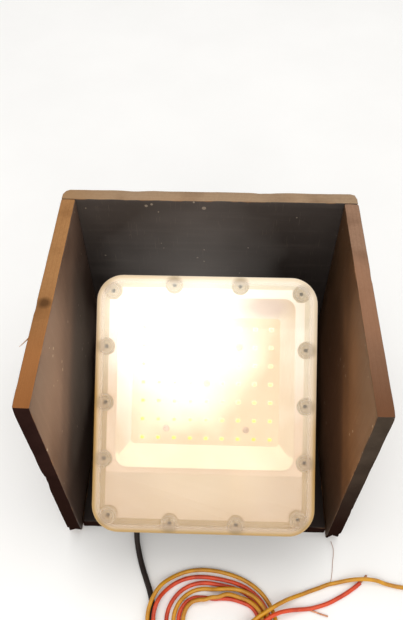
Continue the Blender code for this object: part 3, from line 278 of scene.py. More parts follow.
start_degrees = red_stations[0][0]
both_wires = (red_stations, yellow_stations)
joint_direction = sum((heading(start_degrees, wire) for wire in both_wires), Vector((0, 0))).normalized()
joint_end = sum((coil_place(start_degrees, wire) for wire in both_wires), Vector((0, 0))) / 2
joint_end -= joint_direction * (wire_diameter + touch)
joint_start = joint_end - joint_direction * tape_length
lamp_turn = Matrix.Rotation(tilt, 3, "X")
lead_tip = lamp_turn @ gland_tip + tilt_axis
lead_out = lamp_turn @ Vector((0, 0, -1))
lead_end = joint_start - joint_direction * touch
black_route = smooth_route([
    lead_tip, lead_tip + lead_out * lead_diameter, *[Vector(point) for point in black_lead_points],
    Vector((*(lead_end - joint_direction * lead_diameter), lead_diameter / 2)),
    Vector((*lead_end, lead_diameter / 2)),
], 0.011)
tie_across = Vector((math.cos(tie_angle), math.sin(tie_angle)))
tie_gap = half_wire + 0.0006 + tie_radius
tie_outer = outer_loop(tie_angle) + tie_gap
tie_inner = outer_loop(tie_angle) - tie_reach - tie_gap
tie_under = [Vector((*(coil_middle + tie_across * reach), tie_radius)) for reach in (tie_outer, tie_inner)]
laid = [(black_route, lead_diameter / 2), (tie_under, tie_radius)]
red_coil = rest_on(coil_plan(red_stations), half_wire, laid)
yellow_coil = rest_on(coil_plan(yellow_stations), half_wire, laid + [(red_coil, half_wire)])
own_end = slice(0, -8)
red_lead = lay_lead(
    red_coil, red_stations, red_lead_points, [(red_coil[own_end], half_wire), (yellow_coil, half_wire)]
)
yellow_lead = lay_lead(
    yellow_coil, yellow_stations, yellow_lead_points,
    [(red_coil, half_wire), (yellow_coil[own_end], half_wire), (red_lead, half_wire)],
)


def feed(tree, socket, value):
    """Gives an input its value, or links it to the output that makes the value."""
    if isinstance(value, bpy.types.NodeSocket):
        tree.links.new(value, socket)
    else:
        socket.default_value = value


def fed_by(tree, socket):
    return next(link.from_socket for link in tree.links if link.to_socket == socket)


def add_node(tree, kind, inputs=(), **settings):
    node = tree.nodes.new(tree.bl_idname.replace("Tree", "") + kind)
    for name, value in settings.items():
        setattr(node, name, value)
    for name, value in dict(inputs).items():
        feed(tree, node.inputs[name], value)
    return node


def object_place(tree):
    return add_node(tree, "TexCoord").outputs["Object"]


def noise_node(tree, coordinates, scale, detail=3.0, stretch=None):
    """Noise on object coordinates, squeezed along an axis where stretch is given."""
    if stretch is not None:
        coordinates = add_node(tree, "Mapping", {"Vector": coordinates, "Scale": stretch}).outputs["Vector"]
    noise_inputs = {"Vector": coordinates, "Scale": scale, "Detail": detail}
    return add_node(tree, "TexNoise", noise_inputs).outputs["Fac"]


def range_node(tree, value, low, high, to_low=0.0, to_high=1.0):
    """Carries a value from one range over to another, and holds it at both ends."""
    return add_node(tree, "MapRange", {
        "Value": value, "From Min": low, "From Max": high, "To Min": to_low, "To Max": to_high,
    }).outputs["Result"]


def mix_node(tree, factor, first, second):
    """Blends two colours, each three numbers or the output of a node."""
    first, second = [(*colour, 1) if isinstance(colour, tuple) else colour for colour in (first, second)]
    mixed = add_node(tree, "Mix", {"Factor": factor, "A": first, "B": second}, data_type="RGBA")
    return mixed.outputs["Result"]


def math_node(tree, operation, first, second):
    return add_node(tree, "Math", {0: first, 1: second}, operation=operation).outputs["Value"]


def vector_node(tree, operation, first, second=None):
    operands = {0: first} if second is None else {0: first, 1: second}
    node = add_node(tree, "VectorMath", operands, operation=operation)
    return node.outputs["Value" if operation in ("LENGTH", "DISTANCE") else "Vector"]


def axes_of(tree, vector):
    return add_node(tree, "SeparateXYZ", {"Vector": vector}).outputs


def shader_group(name, inputs, outputs):
    """Node group with its named inputs and outputs, each a Color, Float or Vector."""
    group = bpy.data.node_groups.new(name, "ShaderNodeTree")
    for direction, sockets in (("INPUT", inputs), ("OUTPUT", outputs)):
        for socket, kind in sockets.items():
            group.interface.new_socket(name=socket, in_out=direction, socket_type="NodeSocket" + kind)
    return group, group.nodes.new("NodeGroupInput").outputs, group.nodes.new("NodeGroupOutput").inputs


# Every finish varies by a few percent: two tones in soft blotches, and a fine grain for the bump.
mottle_group, given, result = shader_group("mottled surface", {
    "Color": "Color", "Second Color": "Color", "Blotch Scale": "Float", "Grain Scale": "Float",
    "Roughness Low": "Float", "Roughness High": "Float",
}, {"Color": "Color", "Roughness": "Float", "Grain": "Float"})
place = object_place(mottle_group)
blotches = noise_node(mottle_group, place, given["Blotch Scale"], 4.0)
blotch_share = range_node(mottle_group, blotches, 0.35, 0.65)
for output, value in (
    ("Color", mix_node(mottle_group, blotch_share, given["Color"], given["Second Color"])),
    ("Roughness", range_node(mottle_group, blotches, 0, 1, given["Roughness Low"], given["Roughness High"])),
    ("Grain", noise_node(mottle_group, place, given["Grain Scale"], 2.0)),
):
    feed(mottle_group, result[output], value)


def new_material(name):
    made = bpy.data.materials.new(name)
    made.use_nodes = True
    return made


def surface_of(made):
    return made.node_tree.nodes["Principled BSDF"].inputs


def finish_surface(made, **values):
    """Sets the shader's sockets. A name has underscores for spaces."""
    for name, value in values.items():
        feed(made.node_tree, surface_of(made)[name.replace("_", " ")], value)


def bumped(tree, height, distance):
    return add_node(tree, "Bump", {"Height": height, "Distance": distance}).outputs["Normal"]


def mottled_finish(
    name, tones, roughness, metallic=0.0, blotch=60.0, grain_scale=900.0, bump=0.00002, shine=0.5,
):
    """Material with two near tones, a range of roughness and a fine grain."""
    made = new_material(name)
    tree = made.node_tree
    surface = add_node(tree, "Group", {
        "Color": (*tones[0], 1), "Second Color": (*tones[1], 1), "Blotch Scale": blotch,
        "Grain Scale": grain_scale, "Roughness Low": roughness[0], "Roughness High": roughness[1],
    }, node_tree=mottle_group).outputs
    finish_surface(
        made, Base_Color=surface["Color"], Roughness=surface["Roughness"], Metallic=metallic,
        Specular_IOR_Level=shine, Normal=bumped(tree, surface["Grain"], bump),
    )
    return made


def wire_finish(name, tones, dust):
    """Smooth coloured insulation, handled and a little dusty."""
    made = mottled_finish(name, tones, (0.38, 0.52), blotch=90.0, grain_scale=1500.0, bump=0.00001)
    tree = made.node_tree
    specks = range_node(tree, noise_node(tree, object_place(tree), 700.0), 0.60, 0.72, 0.0, 0.5)
    clean = fed_by(tree, surface_of(made)["Base Color"])
    finish_surface(
        made, Base_Color=mix_node(tree, specks, clean, dust), Coat_Weight=0.06, Coat_Roughness=0.2
    )
    return made


bare_copper = mottled_finish(
    "bare_copper", ((0.62, 0.30, 0.16), (0.42, 0.19, 0.10)), (0.25, 0.45), 1.0, 300.0
)
red_insulation = wire_finish(
    "red_insulation", ((0.66, 0.062, 0.008), (0.46, 0.030, 0.005)), (0.50, 0.20, 0.09)
)
yellow_insulation = wire_finish(
    "yellow_insulation", ((0.62, 0.285, 0.004), (0.45, 0.18, 0.003)), (0.58, 0.36, 0.12)
)
stripped_length = 0.007
core_radius = 0.0009
for colour, coil, lead, finish in (
    ("red", red_coil, red_lead, red_insulation), ("yellow", yellow_coil, yellow_lead, yellow_insulation),
):
    path = rounded_path(np.concatenate([coil, lead[1:]]))
    from_the_end = np.cumsum(path_steps(path)[::-1])
    cut = len(path) - 2 - int(np.searchsorted(from_the_end, stripped_length))
    wire = tube_curve(colour + "_wire", path[:cut + 1], half_wire, finish)
    core = tube_curve(colour + "_wire_core", path[cut - 1:], core_radius, bare_copper, 2)
    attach(wire, "hood")
    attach(core, "hood")
    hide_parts(colour + "_wire_coil", colour + "_wire_lead")


# Black lead, its taped joint and the coil's tie
# The lamp's own round lead has a soft black sheath. It ends in a joint wound with insulating tape.
# The tie is a thin twisted wire in a paper sleeve.

black_sheath = mottled_finish(
    "black_sheath", ((0.012, 0.0065, 0.005), (0.020, 0.012, 0.009)), (0.45, 0.65), blotch=120.0,
    bump=0.00003, shine=0.2,
)
black_path = rounded_path(black_route)
lead_tube = tube_curve("lead_tube", black_path, lead_diameter / 2, black_sheath)
black_lead = in_scene("black_sheath_lead", bpy.data.meshes.new_from_object(lead_tube))
bpy.data.objects.remove(lead_tube)
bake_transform(black_lead)
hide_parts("black_lead")


def round_steps(sides):
    """Cosine and sine of even steps, once round."""
    return [(math.cos(math.tau * k / sides), math.sin(math.tau * k / sides)) for k in range(sides)]


def skin_rings(shape, rings, closed=False):
    """Skins rings of points. The ends may be single points, and are capped, or joined if closed."""
    rows = [[shape.verts.new(point) for point in ring] for ring in rings]
    for near, far in zip(rows, rows[1:] + (rows[:1] if closed else [])):
        count = max(len(near), len(far))
        for i in range(count):
            k = i + 1
            corners = near[i % len(near)], near[k % len(near)], far[k % len(far)], far[i % len(far)]
            shape.faces.new(list(dict.fromkeys(corners)))
    for end in () if closed else (rows[0], rows[-1]):
        if len(end) > 1:
            shape.faces.new(end)


def piece_from(name, shape, finishes=(), sharp=40):
    """Turns a bmesh into a piece, smooth but for its sharp edges, with its faces pointing out."""
    bmesh.ops.recalc_face_normals(shape, faces=shape.faces)
    mesh = bpy.data.meshes.new(name)
    shape.to_mesh(mesh)
    shape.free()
    for finish in finishes:
        mesh.materials.append(finish)
    mesh.shade_smooth()
    mesh.set_sharp_from_angle(angle=math.radians(sharp))
    return in_scene(name, mesh)


def skinned_piece(name, rings, finishes=(), closed=False, sharp=40):
    shape = bmesh.new()
    skin_rings(shape, rings, closed)
    return piece_from(name, shape, finishes, sharp)


tape_finish = mottled_finish(
    "insulating_tape", ((0.020, 0.019, 0.018), (0.035, 0.033, 0.031)), (0.25, 0.45), blotch=200.0
)
tape_steps = 88
tape_turns = 7
tape_along = Vector((*joint_direction, 0))
tape_side = Vector((-tape_along.y, tape_along.x, 0))
tape_rings = []
for i in range(tape_steps + 1):
    share = i / tape_steps
    swell = min(1.0, share / 0.18) * min(1.0, (1 - share) / 0.2 * 0.3 + 0.7)
    winding = 0.00022 * (share * tape_turns % 1)
    wide = 0.0036 + 0.0021 * swell - winding
    tall = 0.0029 + 0.0007 * swell - winding / 2
    foot = Vector((joint_start.x, joint_start.y + front_y, 0.0001)) + tape_along * tape_length * share
    tape_rings.append([
        foot + tape_side * wide * across + Vector((0, 0, tall * (1 + rise)))
        for across, rise in round_steps(28)
    ])
taped_joint = skinned_piece("taped_joint", tape_rings, [tape_finish])
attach(taped_joint, "hood")
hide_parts("splice_tape")

tie_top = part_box("coil_tie")[1].z
tie_corner = 2 * tie_radius
tie_middle = (tie_inner + tie_outer) / 2
tie_points = []
for quarter, (side, rise) in enumerate(((1, 1), (-1, 1), (-1, -1), (1, -1))):
    centre_x = tie_middle + side * ((tie_outer - tie_inner) / 2 - tie_corner)
    centre_z = tie_top / 2 + rise * (tie_top / 2 - tie_radius - tie_corner)
    for i in range(6):
        angle = math.pi / 2 * (quarter + i / 5)
        spot = coil_middle + tie_across * (centre_x + tie_corner * math.cos(angle))
        tie_points.append((spot.x, spot.y + front_y, centre_z + tie_corner * math.sin(angle)))
paper_sleeve = mottled_finish(
    "paper_sleeve", ((0.62, 0.58, 0.50), (0.46, 0.42, 0.35)), (0.7, 0.9), blotch=400.0, bump=0.00005
)
tie = tube_curve("paper_tie", tie_points, tie_radius * 0.95, paper_sleeve, 2)
tie.data.splines[0].use_cyclic_u = True
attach(tie, "hood")
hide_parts("coil_tie")


# Hood boards
# Four boards sawn from film-faced plywood, once used for shuttering, are glued edge to face.
# The dark film is scratched and speckled, and the sawn edges show worn orange-brown plies.

edge_group, given, result = shader_group(
    "distance from the board's edges", {"Middle": "Vector", "Half Size": "Vector"}, {"Distance": "Float"}
)
off_middle = vector_node(edge_group, "SUBTRACT", object_place(edge_group), given["Middle"])
off_middle = vector_node(edge_group, "ABSOLUTE", off_middle)
inside = axes_of(edge_group, vector_node(edge_group, "SUBTRACT", given["Half Size"], off_middle))
low_pair = math_node(edge_group, "MINIMUM", inside["X"], inside["Y"])
high_pair = math_node(edge_group, "MAXIMUM", inside["X"], inside["Y"])
second_least = math_node(edge_group, "MINIMUM", high_pair, inside["Z"])
feed(edge_group, result["Distance"], math_node(edge_group, "MAXIMUM", low_pair, second_least))


def times(tone, *shares):
    """A tone made darker or lighter, by one share or by one for each colour."""
    shares = shares * 3 if len(shares) == 1 else shares
    return tuple(share * colour for share, colour in zip(shares, tone))


def film_face(name, middle, half, along, tones):
    """Dark phenolic film over wood: faint telegraphed grain, scratches, specks, darkening towards the foot
    and rubbed edges.
    """
    made = new_material(name)
    tree = made.node_tree
    spot = object_place(tree)
    stretch = [260.0, 260.0, 260.0]
    stretch[along] = 14.0
    grain = noise_node(tree, spot, 1.0, 5.0, stretch)
    cloud = noise_node(tree, spot, 14.0, 4.0)
    fine = noise_node(tree, spot, 420.0, 2.0)
    base = mix_node(tree, range_node(tree, cloud, 0.35, 0.68), *tones)
    base = mix_node(tree, range_node(tree, grain, 0.52, 0.75, 0.0, 0.24), base, times(tones[1], 1.5))
    # Darker towards the foot of the board.
    darker_towards_foot = range_node(tree, axes_of(tree, spot)["Z"], 0.015, 0.115, 0.55, 0.0)
    base = mix_node(tree, darker_towards_foot, base, times(tones[0], 0.35))
    scratches = noise_node(tree, spot, 1.0, 1.0, (1900.0, 1700.0, 60.0))
    base = mix_node(tree, range_node(tree, scratches, 0.70, 0.76, 0.0, 0.35), base, (0.16, 0.12, 0.09))
    cells = add_node(tree, "TexVoronoi", {"Vector": spot, "Scale": 95.0})
    speck_size = range_node(tree, noise_node(tree, spot, 37.0), 0.46, 0.70, 0.0, 0.17)
    speck = math_node(tree, "LESS_THAN", cells.outputs["Distance"], speck_size)
    base = mix_node(tree, math_node(tree, "MULTIPLY", speck, 0.6), base, (0.32, 0.26, 0.20))
    edges = add_node(tree, "Group", {"Middle": middle, "Half Size": half}, node_tree=edge_group)
    fray = range_node(tree, noise_node(tree, spot, 90.0), 0.3, 0.7, 0.0008, -0.0009)
    ragged = math_node(tree, "ADD", edges.outputs["Distance"], fray)
    worn = range_node(tree, ragged, 0.0, 0.0008, 1.0, 0.0)
    grain_height = math_node(tree, "MULTIPLY", grain, 0.8)
    height = math_node(tree, "ADD", grain_height, math_node(tree, "MULTIPLY", fine, 0.25))
    height = math_node(tree, "SUBTRACT", height, math_node(tree, "MULTIPLY", worn, 0.8))
    finish_surface(
        made, Base_Color=mix_node(tree, worn, base, (0.17, 0.085, 0.038)), Specular_IOR_Level=0.22,
        Roughness=range_node(tree, cloud, 0.3, 0.7, 0.42, 0.66), Normal=bumped(tree, height, 0.00012),
    )
    return made


half_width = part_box("rear_board")[1].x
hood_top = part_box("rear_board")[1].z
rear_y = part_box("rear_board")[1].y
knot = Vector((-half_width + 0.006, front_y + 0.088, hood_top))
board_thickness = 0.012
ply_count = 7


def ply_edge(name, thickness_axis, middle, light, dark):
    """Sawn edge of the board, with plies of turned grain, glue lines, a knot and dirt."""
    made = new_material(name)
    tree = made.node_tree
    spot = object_place(tree)
    axes = axes_of(tree, spot)
    wobble = range_node(tree, noise_node(tree, spot, 60.0), 0.0, 1.0, -0.0007, 0.0007)
    across = math_node(tree, "ADD", axes["XYZ"[thickness_axis]], wobble)
    across = math_node(tree, "SUBTRACT", across, middle - board_thickness / 2)
    plies = math_node(tree, "MULTIPLY", across, ply_count / board_thickness)
    odd = math_node(tree, "PINGPONG", plies, 1.0)
    glue = math_node(tree, "PINGPONG", plies, 0.5)
    fibre = noise_node(tree, spot, 520.0, 4.0)
    stain = noise_node(tree, spot, 26.0, 4.0)
    warm = noise_node(tree, spot, 11.0, 2.0)
    base = light
    for share, tone in (
        (range_node(tree, odd, 0.3, 0.7, 0.0, 0.16), dark),
        (range_node(tree, fibre, 0.35, 0.75, 0.0, 0.22), times(dark, 0.55)),
        (range_node(tree, glue, 0.0, 0.12, 0.08, 0.0), times(dark, 0.4)),
        (range_node(tree, stain, 0.50, 0.74, 0.0, 0.7), times(dark, 0.6)),
        (range_node(tree, axes["Y"], front_y, front_y + 0.115, 1.0, 0.0), times(dark, 0.66, 0.54, 0.44)),
        (range_node(tree, warm, 0.42, 0.62, 0.0, 0.5), times(light, 1.0, 0.82, 0.7)),
    ):
        base = mix_node(tree, share, base, tone)
    if thickness_axis == 1:
        left_end = range_node(tree, axes["X"], -half_width, -half_width + 0.060, 0.75, 0.0)
        base = mix_node(tree, left_end, base, (0.30, 0.170, 0.078))
    from_knot = vector_node(tree, "DISTANCE", spot, knot)
    base = mix_node(tree, range_node(tree, from_knot, 0.0025, 0.0065, 0.85, 0.0), base, times(dark, 0.28))
    height = math_node(tree, "ADD", fibre, range_node(tree, glue, 0.0, 0.2, 0.0, 0.25))
    finish_surface(
        made, Base_Color=base, Roughness=0.78, Specular_IOR_Level=0.06, Normal=bumped(tree, height, 0.0004)
    )
    return made


def front_edge_in_painted_shade(name, high_tone, low_tone):
    """Front edge in painted shade: dark, and blacker towards the foot."""
    made = mottled_finish(
        name, (high_tone, times(high_tone, 1.5)), (0.6, 0.85), blotch=45.0, grain_scale=500.0, bump=0.0003,
        shine=0.0,
    )
    tree = made.node_tree
    upper = fed_by(tree, surface_of(made)["Base Color"])
    lowness = range_node(tree, axes_of(tree, object_place(tree))["Z"], 0.04, 0.20, 1.0, 0.0)
    finish_surface(made, Base_Color=mix_node(tree, lowness, upper, low_tone))
    return made


def held(value, limit):
    return max(-limit, min(limit, value))


def worn_board(name, thickness_axis, dents, finishes, rounded_ends=()):
    """Board with rounded, slightly uneven edges. A dent is a place, how far it reaches and how deep."""
    edge_radius = 0.0013
    grid = 0.0045
    wear_zone = 0.004
    wear_depth = 0.0010
    rounding_drop = 0.045
    low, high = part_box(name)
    middle = (low + high) / 2
    half = (high - low) / 2
    shape = bmesh.new()
    steps = []
    for axis in range(3):
        flat = half[axis] - edge_radius
        count = max(2, round(2 * flat / grid))
        inner = [-flat + 2 * flat * k / count for k in range(count + 1)]
        outer = [half[axis] - edge_radius * share for share in (0.55, 0.2, 0.0)]
        steps.append([-value for value in reversed(outer)] + inner + outer)

    def rounded(spot):
        core = Vector([held(spot[k], half[k] - edge_radius) for k in range(3)])
        out = Vector(spot) - core
        return core + (out.normalized() * edge_radius if out.length > edge_radius else out)

    def rubbed(moved):
        """Takes a little off near the edges, unevenly along them."""
        edge = sorted(half[k] - abs(moved[k]) for k in range(3))[1]
        if edge >= wear_zone:
            return moved
        spot = moved + middle
        worn = noise.noise(spot * 45) * 0.6 + noise.noise(spot * 150) * 0.2
        inward = max(0.0, 0.25 + worn) * wear_depth * (1 - edge / wear_zone)
        return moved - Vector([
            math.copysign(inward, moved[k])
            if half[k] - abs(moved[k]) < wear_zone and k != thickness_axis else 0.0 for k in range(3)
        ])

    def dented(moved):
        """Presses the dents in, square to the board's thickness, and rounds the worn upright corners."""
        spot = moved + middle
        inwards = -moved
        inwards[thickness_axis] = 0
        for dent, reach, depth in dents:
            away = (spot - Vector(dent)).length
            if away < reach:
                pull = depth * (1 - (away / reach) ** 2) * (0.75 + 0.5 * noise.noise(spot * 240))
                spot = spot + inwards.normalized() * pull
        for side, radius in rounded_ends:
            worn_radius = radius * max(0.15, 1 - (high.z - spot.z) / rounding_drop)
            turn = Vector((side * (half.x - worn_radius), high.y - worn_radius, spot.z))
            beyond = spot - turn
            if side * beyond.x > 0 and beyond.y > 0 and beyond.length > worn_radius:
                spot = turn + beyond.normalized() * worn_radius
        return spot

    made = {}

    def vertex(spot):
        key = tuple(round(value, 7) for value in spot)
        if key not in made:
            made[key] = shape.verts.new(dented(rubbed(rounded(spot))))
        return made[key]

    def finish_of(axis, side):
        if axis == thickness_axis:
            return 0
        return 2 if axis == 1 and side < 0 else 1

    for axis in range(3):
        first, second = [k for k in range(3) if k != axis]
        for side in (-1, 1):
            for a0, a1 in zip(steps[first], steps[first][1:]):
                for b0, b1 in zip(steps[second], steps[second][1:]):
                    corners = []
                    for a, b in ((a0, b0), (a1, b0), (a1, b1), (a0, b1)):
                        spot = [0.0, 0.0, 0.0]
                        spot[axis] = side * half[axis]
                        spot[first] = a
                        spot[second] = b
                        corners.append(vertex(spot))
                    shape.faces.new(corners).material_index = finish_of(axis, side)
    board = piece_from("worn_" + name, shape, finishes, sharp=60)
    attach(board, "hood")
    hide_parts(name)


# Of each board: the axis of its thickness and of its grain, the light and dark tone of its plies, the
# tones of its film, the tone of its front edge (painted dark as shade), and its dents.
left_x = -half_width
right_x = half_width
front_middle = front_y + 0.0065
base_top = 0.012
board_looks = {
    "left_side_board": (
        0, 2, (0.345, 0.172, 0.066), (0.275, 0.122, 0.042), ((0.074, 0.045, 0.032), (0.108, 0.068, 0.049)),
        (0.018, 0.008, 0.0065), (
            ((left_x, front_y, 0.118), 0.011, 0.0030), ((left_x, front_y, 0.106), 0.007, 0.0022),
            ((left_x + 0.004, front_y, 0.0), 0.014, 0.0060), ((left_x, front_y, hood_top), 0.008, 0.0020),
            ((left_x, front_y + 0.085, hood_top), 0.006, 0.0016),
            ((left_x, front_y + 0.02, hood_top), 0.005, 0.0010),
        ),
    ),
    "right_side_board": (
        0, 2, (0.28, 0.165, 0.105), (0.20, 0.105, 0.062), ((0.068, 0.032, 0.0135), (0.098, 0.047, 0.020)),
        (0.046, 0.034, 0.025), (
            ((right_x, front_y, 0.0), 0.016, 0.0070), ((right_x, front_y, hood_top), 0.006, 0.0016),
            ((right_x, front_y + 0.12, hood_top), 0.007, 0.0013), ((right_x, front_y, 0.07), 0.006, 0.0010),
        ),
    ),
    "rear_board": (
        1, 0, (0.33, 0.228, 0.142), (0.26, 0.160, 0.092), ((0.040, 0.032, 0.028), (0.060, 0.049, 0.043)),
        (0.024, 0.013, 0.010),
        (((0.045, rear_y, hood_top), 0.012, 0.0011), ((-0.06, rear_y, hood_top), 0.010, 0.0008)),
    ),
    # The base board's film and ply tones are darker than the other boards': painted shade, as it lies under
    # the lamp.
    "base_board": (
        2, 0, (0.20, 0.100, 0.045), (0.14, 0.066, 0.030), ((0.020, 0.012, 0.009), (0.030, 0.019, 0.014)),
        (0.024, 0.014, 0.011),
        (((0.095, front_middle, base_top), 0.008, 0.0015), ((-0.02, front_middle, base_top), 0.010, 0.0008)),
    ),
}
for board_name, (thickness_axis, grain_axis, light, dark, film, front, dents) in board_looks.items():
    low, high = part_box(board_name)
    middle = (low + high) / 2
    rounded_ends = ((-1, 0.009), (1, 0.0075)) if board_name == "rear_board" else ()
    worn_board(board_name, thickness_axis, dents, [
        film_face("film_on_" + board_name, middle, (high - low) / 2, grain_axis, film),
        ply_edge("plies_of_" + board_name, thickness_axis, middle[thickness_axis], light, dark),
        front_edge_in_painted_shade("painted_shade_front_of_" + board_name, front, (0.017, 0.0075, 0.0055)),
    ], rounded_ends)


# Splinter on the left board
# A sliver of the outer ply has lifted at the left rim and curls away from the board.

splinter_root = Vector((-half_width + 0.0006, front_y + 0.057, hood_top - 0.0016))
splinter_rings = []
for i in range(13):
    share = i / 12
    bent = Vector((-0.0062 * share, 0.004 * share ** 2 - 0.0105 * share, 0.0006 - 0.0022 * share ** 2))
    wide = 0.0017 * (1 - share) ** 0.6 + 0.00010
    splinter_rings.append([
        splinter_root + bent + wide * Vector((0.5 * across, across, 0.45 * rise))
        for across, rise in round_steps(8)
    ])
splinter = skinned_piece("lifted_splinter", splinter_rings, [
    mottled_finish("fresh_wood", ((0.48, 0.26, 0.12), (0.36, 0.18, 0.08)), (0.6, 0.8), blotch=500.0),
])
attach(splinter, "hood")


# Lamp front
# One clear moulding, frosted towards its edge, is the whole front of the lamp. Its thick edge is
# rounded over and runs down as a skirt, and fourteen hollow posts inside take the screws.

face_width = 0.180
face_height = 0.2085
face_corner = 0.0215
face_level = 0.042
pane_back = 0.039
skirt_foot = 0.032
skirt_thickness = 0.0025
pivot = Vector((0, tilt_axis.y + front_y, tilt_axis.z))
lamp_place = Matrix.Translation(pivot) @ Matrix.Rotation(tilt, 4, "X")
into_lamp = lamp_place.inverted()
side_screw = (face_width / 2 - 0.0085, 0.0455)
end_screw = (0.027, face_height / 2 - 0.0075)
corner_screw = (face_width / 2 - 0.013, face_height / 2 - 0.013)
screw_spots = []
for side in (-1, 1):
    screw_spots += [(side * side_screw[0], row * side_screw[1]) for row in (-1, 0, 1)]
    screw_spots += [(column * end_screw[0], side * end_screw[1]) for column in (-1, 1)]
    screw_spots += [(side * corner_screw[0], end * corner_screw[1]) for end in (-1, 1)]


def rounded_outline(width, height, radius, level, centre_y=0.0, corner_steps=12):
    """Points round a rectangle with rounded corners, at one level of the lamp's own frame."""
    points = []
    for corner, (side_x, side_y) in enumerate(((1, 1), (-1, 1), (-1, -1), (1, -1))):
        middle = Vector((side_x * (width / 2 - radius), centre_y + side_y * (height / 2 - radius), level))
        for i in range(corner_steps + 1):
            angle = math.pi / 2 * (corner + i / corner_steps)
            points.append(middle + Vector((radius * math.cos(angle), radius * math.sin(angle), 0)))
    return points


def face_outline(inset, level):
    return rounded_outline(face_width - 2 * inset, face_height - 2 * inset, face_corner - inset, level)


def on_lamp(outlines):
    """Takes outlines from the lamp's own frame to the world."""
    return [[lamp_place @ Vector(point) for point in outline] for outline in outlines]


def turned_outlines(profile, spot=(0, 0), sides=28):
    """Rings about a place on the lamp, from (radius, level) pairs."""
    return [
        [(spot[0] + radius * across, spot[1] + radius * rise, level) for across, rise in round_steps(sides)]
        for radius, level in profile
    ]


edge_outlines = [face_outline(0.0034, face_level), face_outline(0.0028, face_level)]
for i in range(7):
    angle = math.pi / 2 * i / 6
    edge_outlines.append(face_outline(
        skirt_thickness * (1 - math.sin(angle)), face_level - skirt_thickness * (1 - math.cos(angle))
    ))
edge_outlines += [face_outline(inset, level) for inset, level in (
    (0, 0.0345), (0, skirt_foot + 0.0005), (0.0005, skirt_foot), (skirt_thickness, skirt_foot),
    (skirt_thickness, pane_back - 0.0003), (0.0028, pane_back), (0.0034, pane_back), (0.0050, pane_back),
)]
front = bmesh.new()
skin_rings(front, on_lamp(edge_outlines))
for face in front.faces:
    middle = into_lamp @ face.calc_center_median()
    past_core = Vector((
        max(0.0, abs(middle.x) - face_width / 2 + face_corner),
        max(0.0, abs(middle.y) - face_height / 2 + face_corner),
    ))
    matt = middle.z < pane_back + 0.0002 and 0.0010 < face_corner - past_core.length < 0.0029
    face.material_index = 1 if matt else 0
post_shape = bmesh.new()
for spot in screw_spots:
    skin_rings(post_shape, on_lamp(turned_outlines((
        (0.0019, 0.0386), (0.0072, 0.0386), (0.0060, 0.0381), (0.0049, 0.0374), (0.0045, 0.0362),
        (0.0045, 0.0322), (0.0019, 0.0322),
    ), spot)), closed=True)

# The lit lamp's own light, painted on its parts as a glow, hot near a middle on its face and cooler away
# from it.
glow_group, given, result = shader_group("glow of the lit lamp", {
    "Hot Color": "Color", "Cool Color": "Color", "Middle": "Vector", "Near": "Float", "Far": "Float",
}, {"Color": "Color"})
place = object_place(glow_group)
from_the_middle = vector_node(glow_group, "DISTANCE", place, given["Middle"])
uneven = range_node(glow_group, noise_node(glow_group, place, 22.0, 1.0), 0.25, 0.75, 0.80, 1.20)
from_the_middle = math_node(glow_group, "MULTIPLY", from_the_middle, uneven)
fade = range_node(glow_group, from_the_middle, given["Near"], given["Far"])
feed(glow_group, result["Color"], mix_node(glow_group, fade, given["Hot Color"], given["Cool Color"]))


def glow_colour(tree, hot, cool, middle, near, far, level=0.030):
    return add_node(tree, "Group", {
        "Hot Color": (*hot, 1), "Cool Color": (*cool, 1), "Middle": lamp_place @ Vector((*middle, level)),
        "Near": near, "Far": far,
    }, node_tree=glow_group).outputs["Color"]


def glowing(made, *looks, **reach):
    """Adds the lamp's own light to a material as a painted glow."""
    finish_surface(
        made, Emission_Color=glow_colour(made.node_tree, *looks, **reach), Emission_Strength=1.0
    )
    return made


rim_reach = {"middle": (0.022, 0.100), "near": 0.030, "far": 0.165}
clear_moulding = glowing(mottled_finish(
    "clear_moulding", ((0.98, 0.97, 0.95), (0.96, 0.94, 0.90)), (0.03, 0.05), blotch=35.0,
    grain_scale=1200.0, bump=0.0000005,
), (0.30, 0.30, 0.27), (0.01, 0.008, 0.004), (-0.020, 0.060), 0.006, 0.080)
post_finish = glowing(mottled_finish(
    "screw_posts", ((0.30, 0.225, 0.135), (0.25, 0.185, 0.11)), (0.4, 0.5), blotch=120.0,
), (0.34, 0.29, 0.21), (0.22, 0.130, 0.055), **rim_reach)
skirt_finish = glowing(mottled_finish(
    "matt_skirt", ((0.30, 0.22, 0.10), (0.27, 0.20, 0.09)), (0.6, 0.7),
), (0.50, 0.47, 0.41), (0.10, 0.060, 0.014), **rim_reach)


def face_frame(tree, place, size=None):
    """Object coordinates as seen from a place in the world, turned with the lamp's face."""
    inputs = {"Vector": object_place(tree), "Location": place, "Rotation": (tilt, 0, 0)}
    if size is not None:
        inputs["Scale"] = size
    return add_node(tree, "Mapping", inputs, vector_type="TEXTURE").outputs["Vector"]


# The moulding is clear in the middle, frosted towards its edge, and blurred over each screw post, where a
# painted shadow of the post darkens its colour and glow.
tree = clear_moulding.node_tree
quarter = vector_node(tree, "ABSOLUTE", face_frame(tree, lamp_place.translation))
to_post = None
for x, y in ((side_screw[0], 0.0), side_screw, end_screw, corner_screw):
    away = vector_node(tree, "DISTANCE", quarter, (x, y, face_level))
    to_post = away if to_post is None else math_node(tree, "MINIMUM", to_post, away)
over_post = range_node(tree, to_post, 0.0050, 0.0088, 1.0, 0.0)
core_corner = (face_width / 2 - face_corner, face_height / 2 - face_corner, 0)
past_core = vector_node(tree, "MAXIMUM", vector_node(tree, "SUBTRACT", quarter, core_corner), (0, 0, 0))
past_core = vector_node(tree, "LENGTH", vector_node(tree, "MULTIPLY", past_core, (1, 1, 0)))
frost = range_node(tree, past_core, 0.0142, 0.0195)
frost_rough = range_node(tree, frost, 0.0, 1.0, 0.04, 0.45)
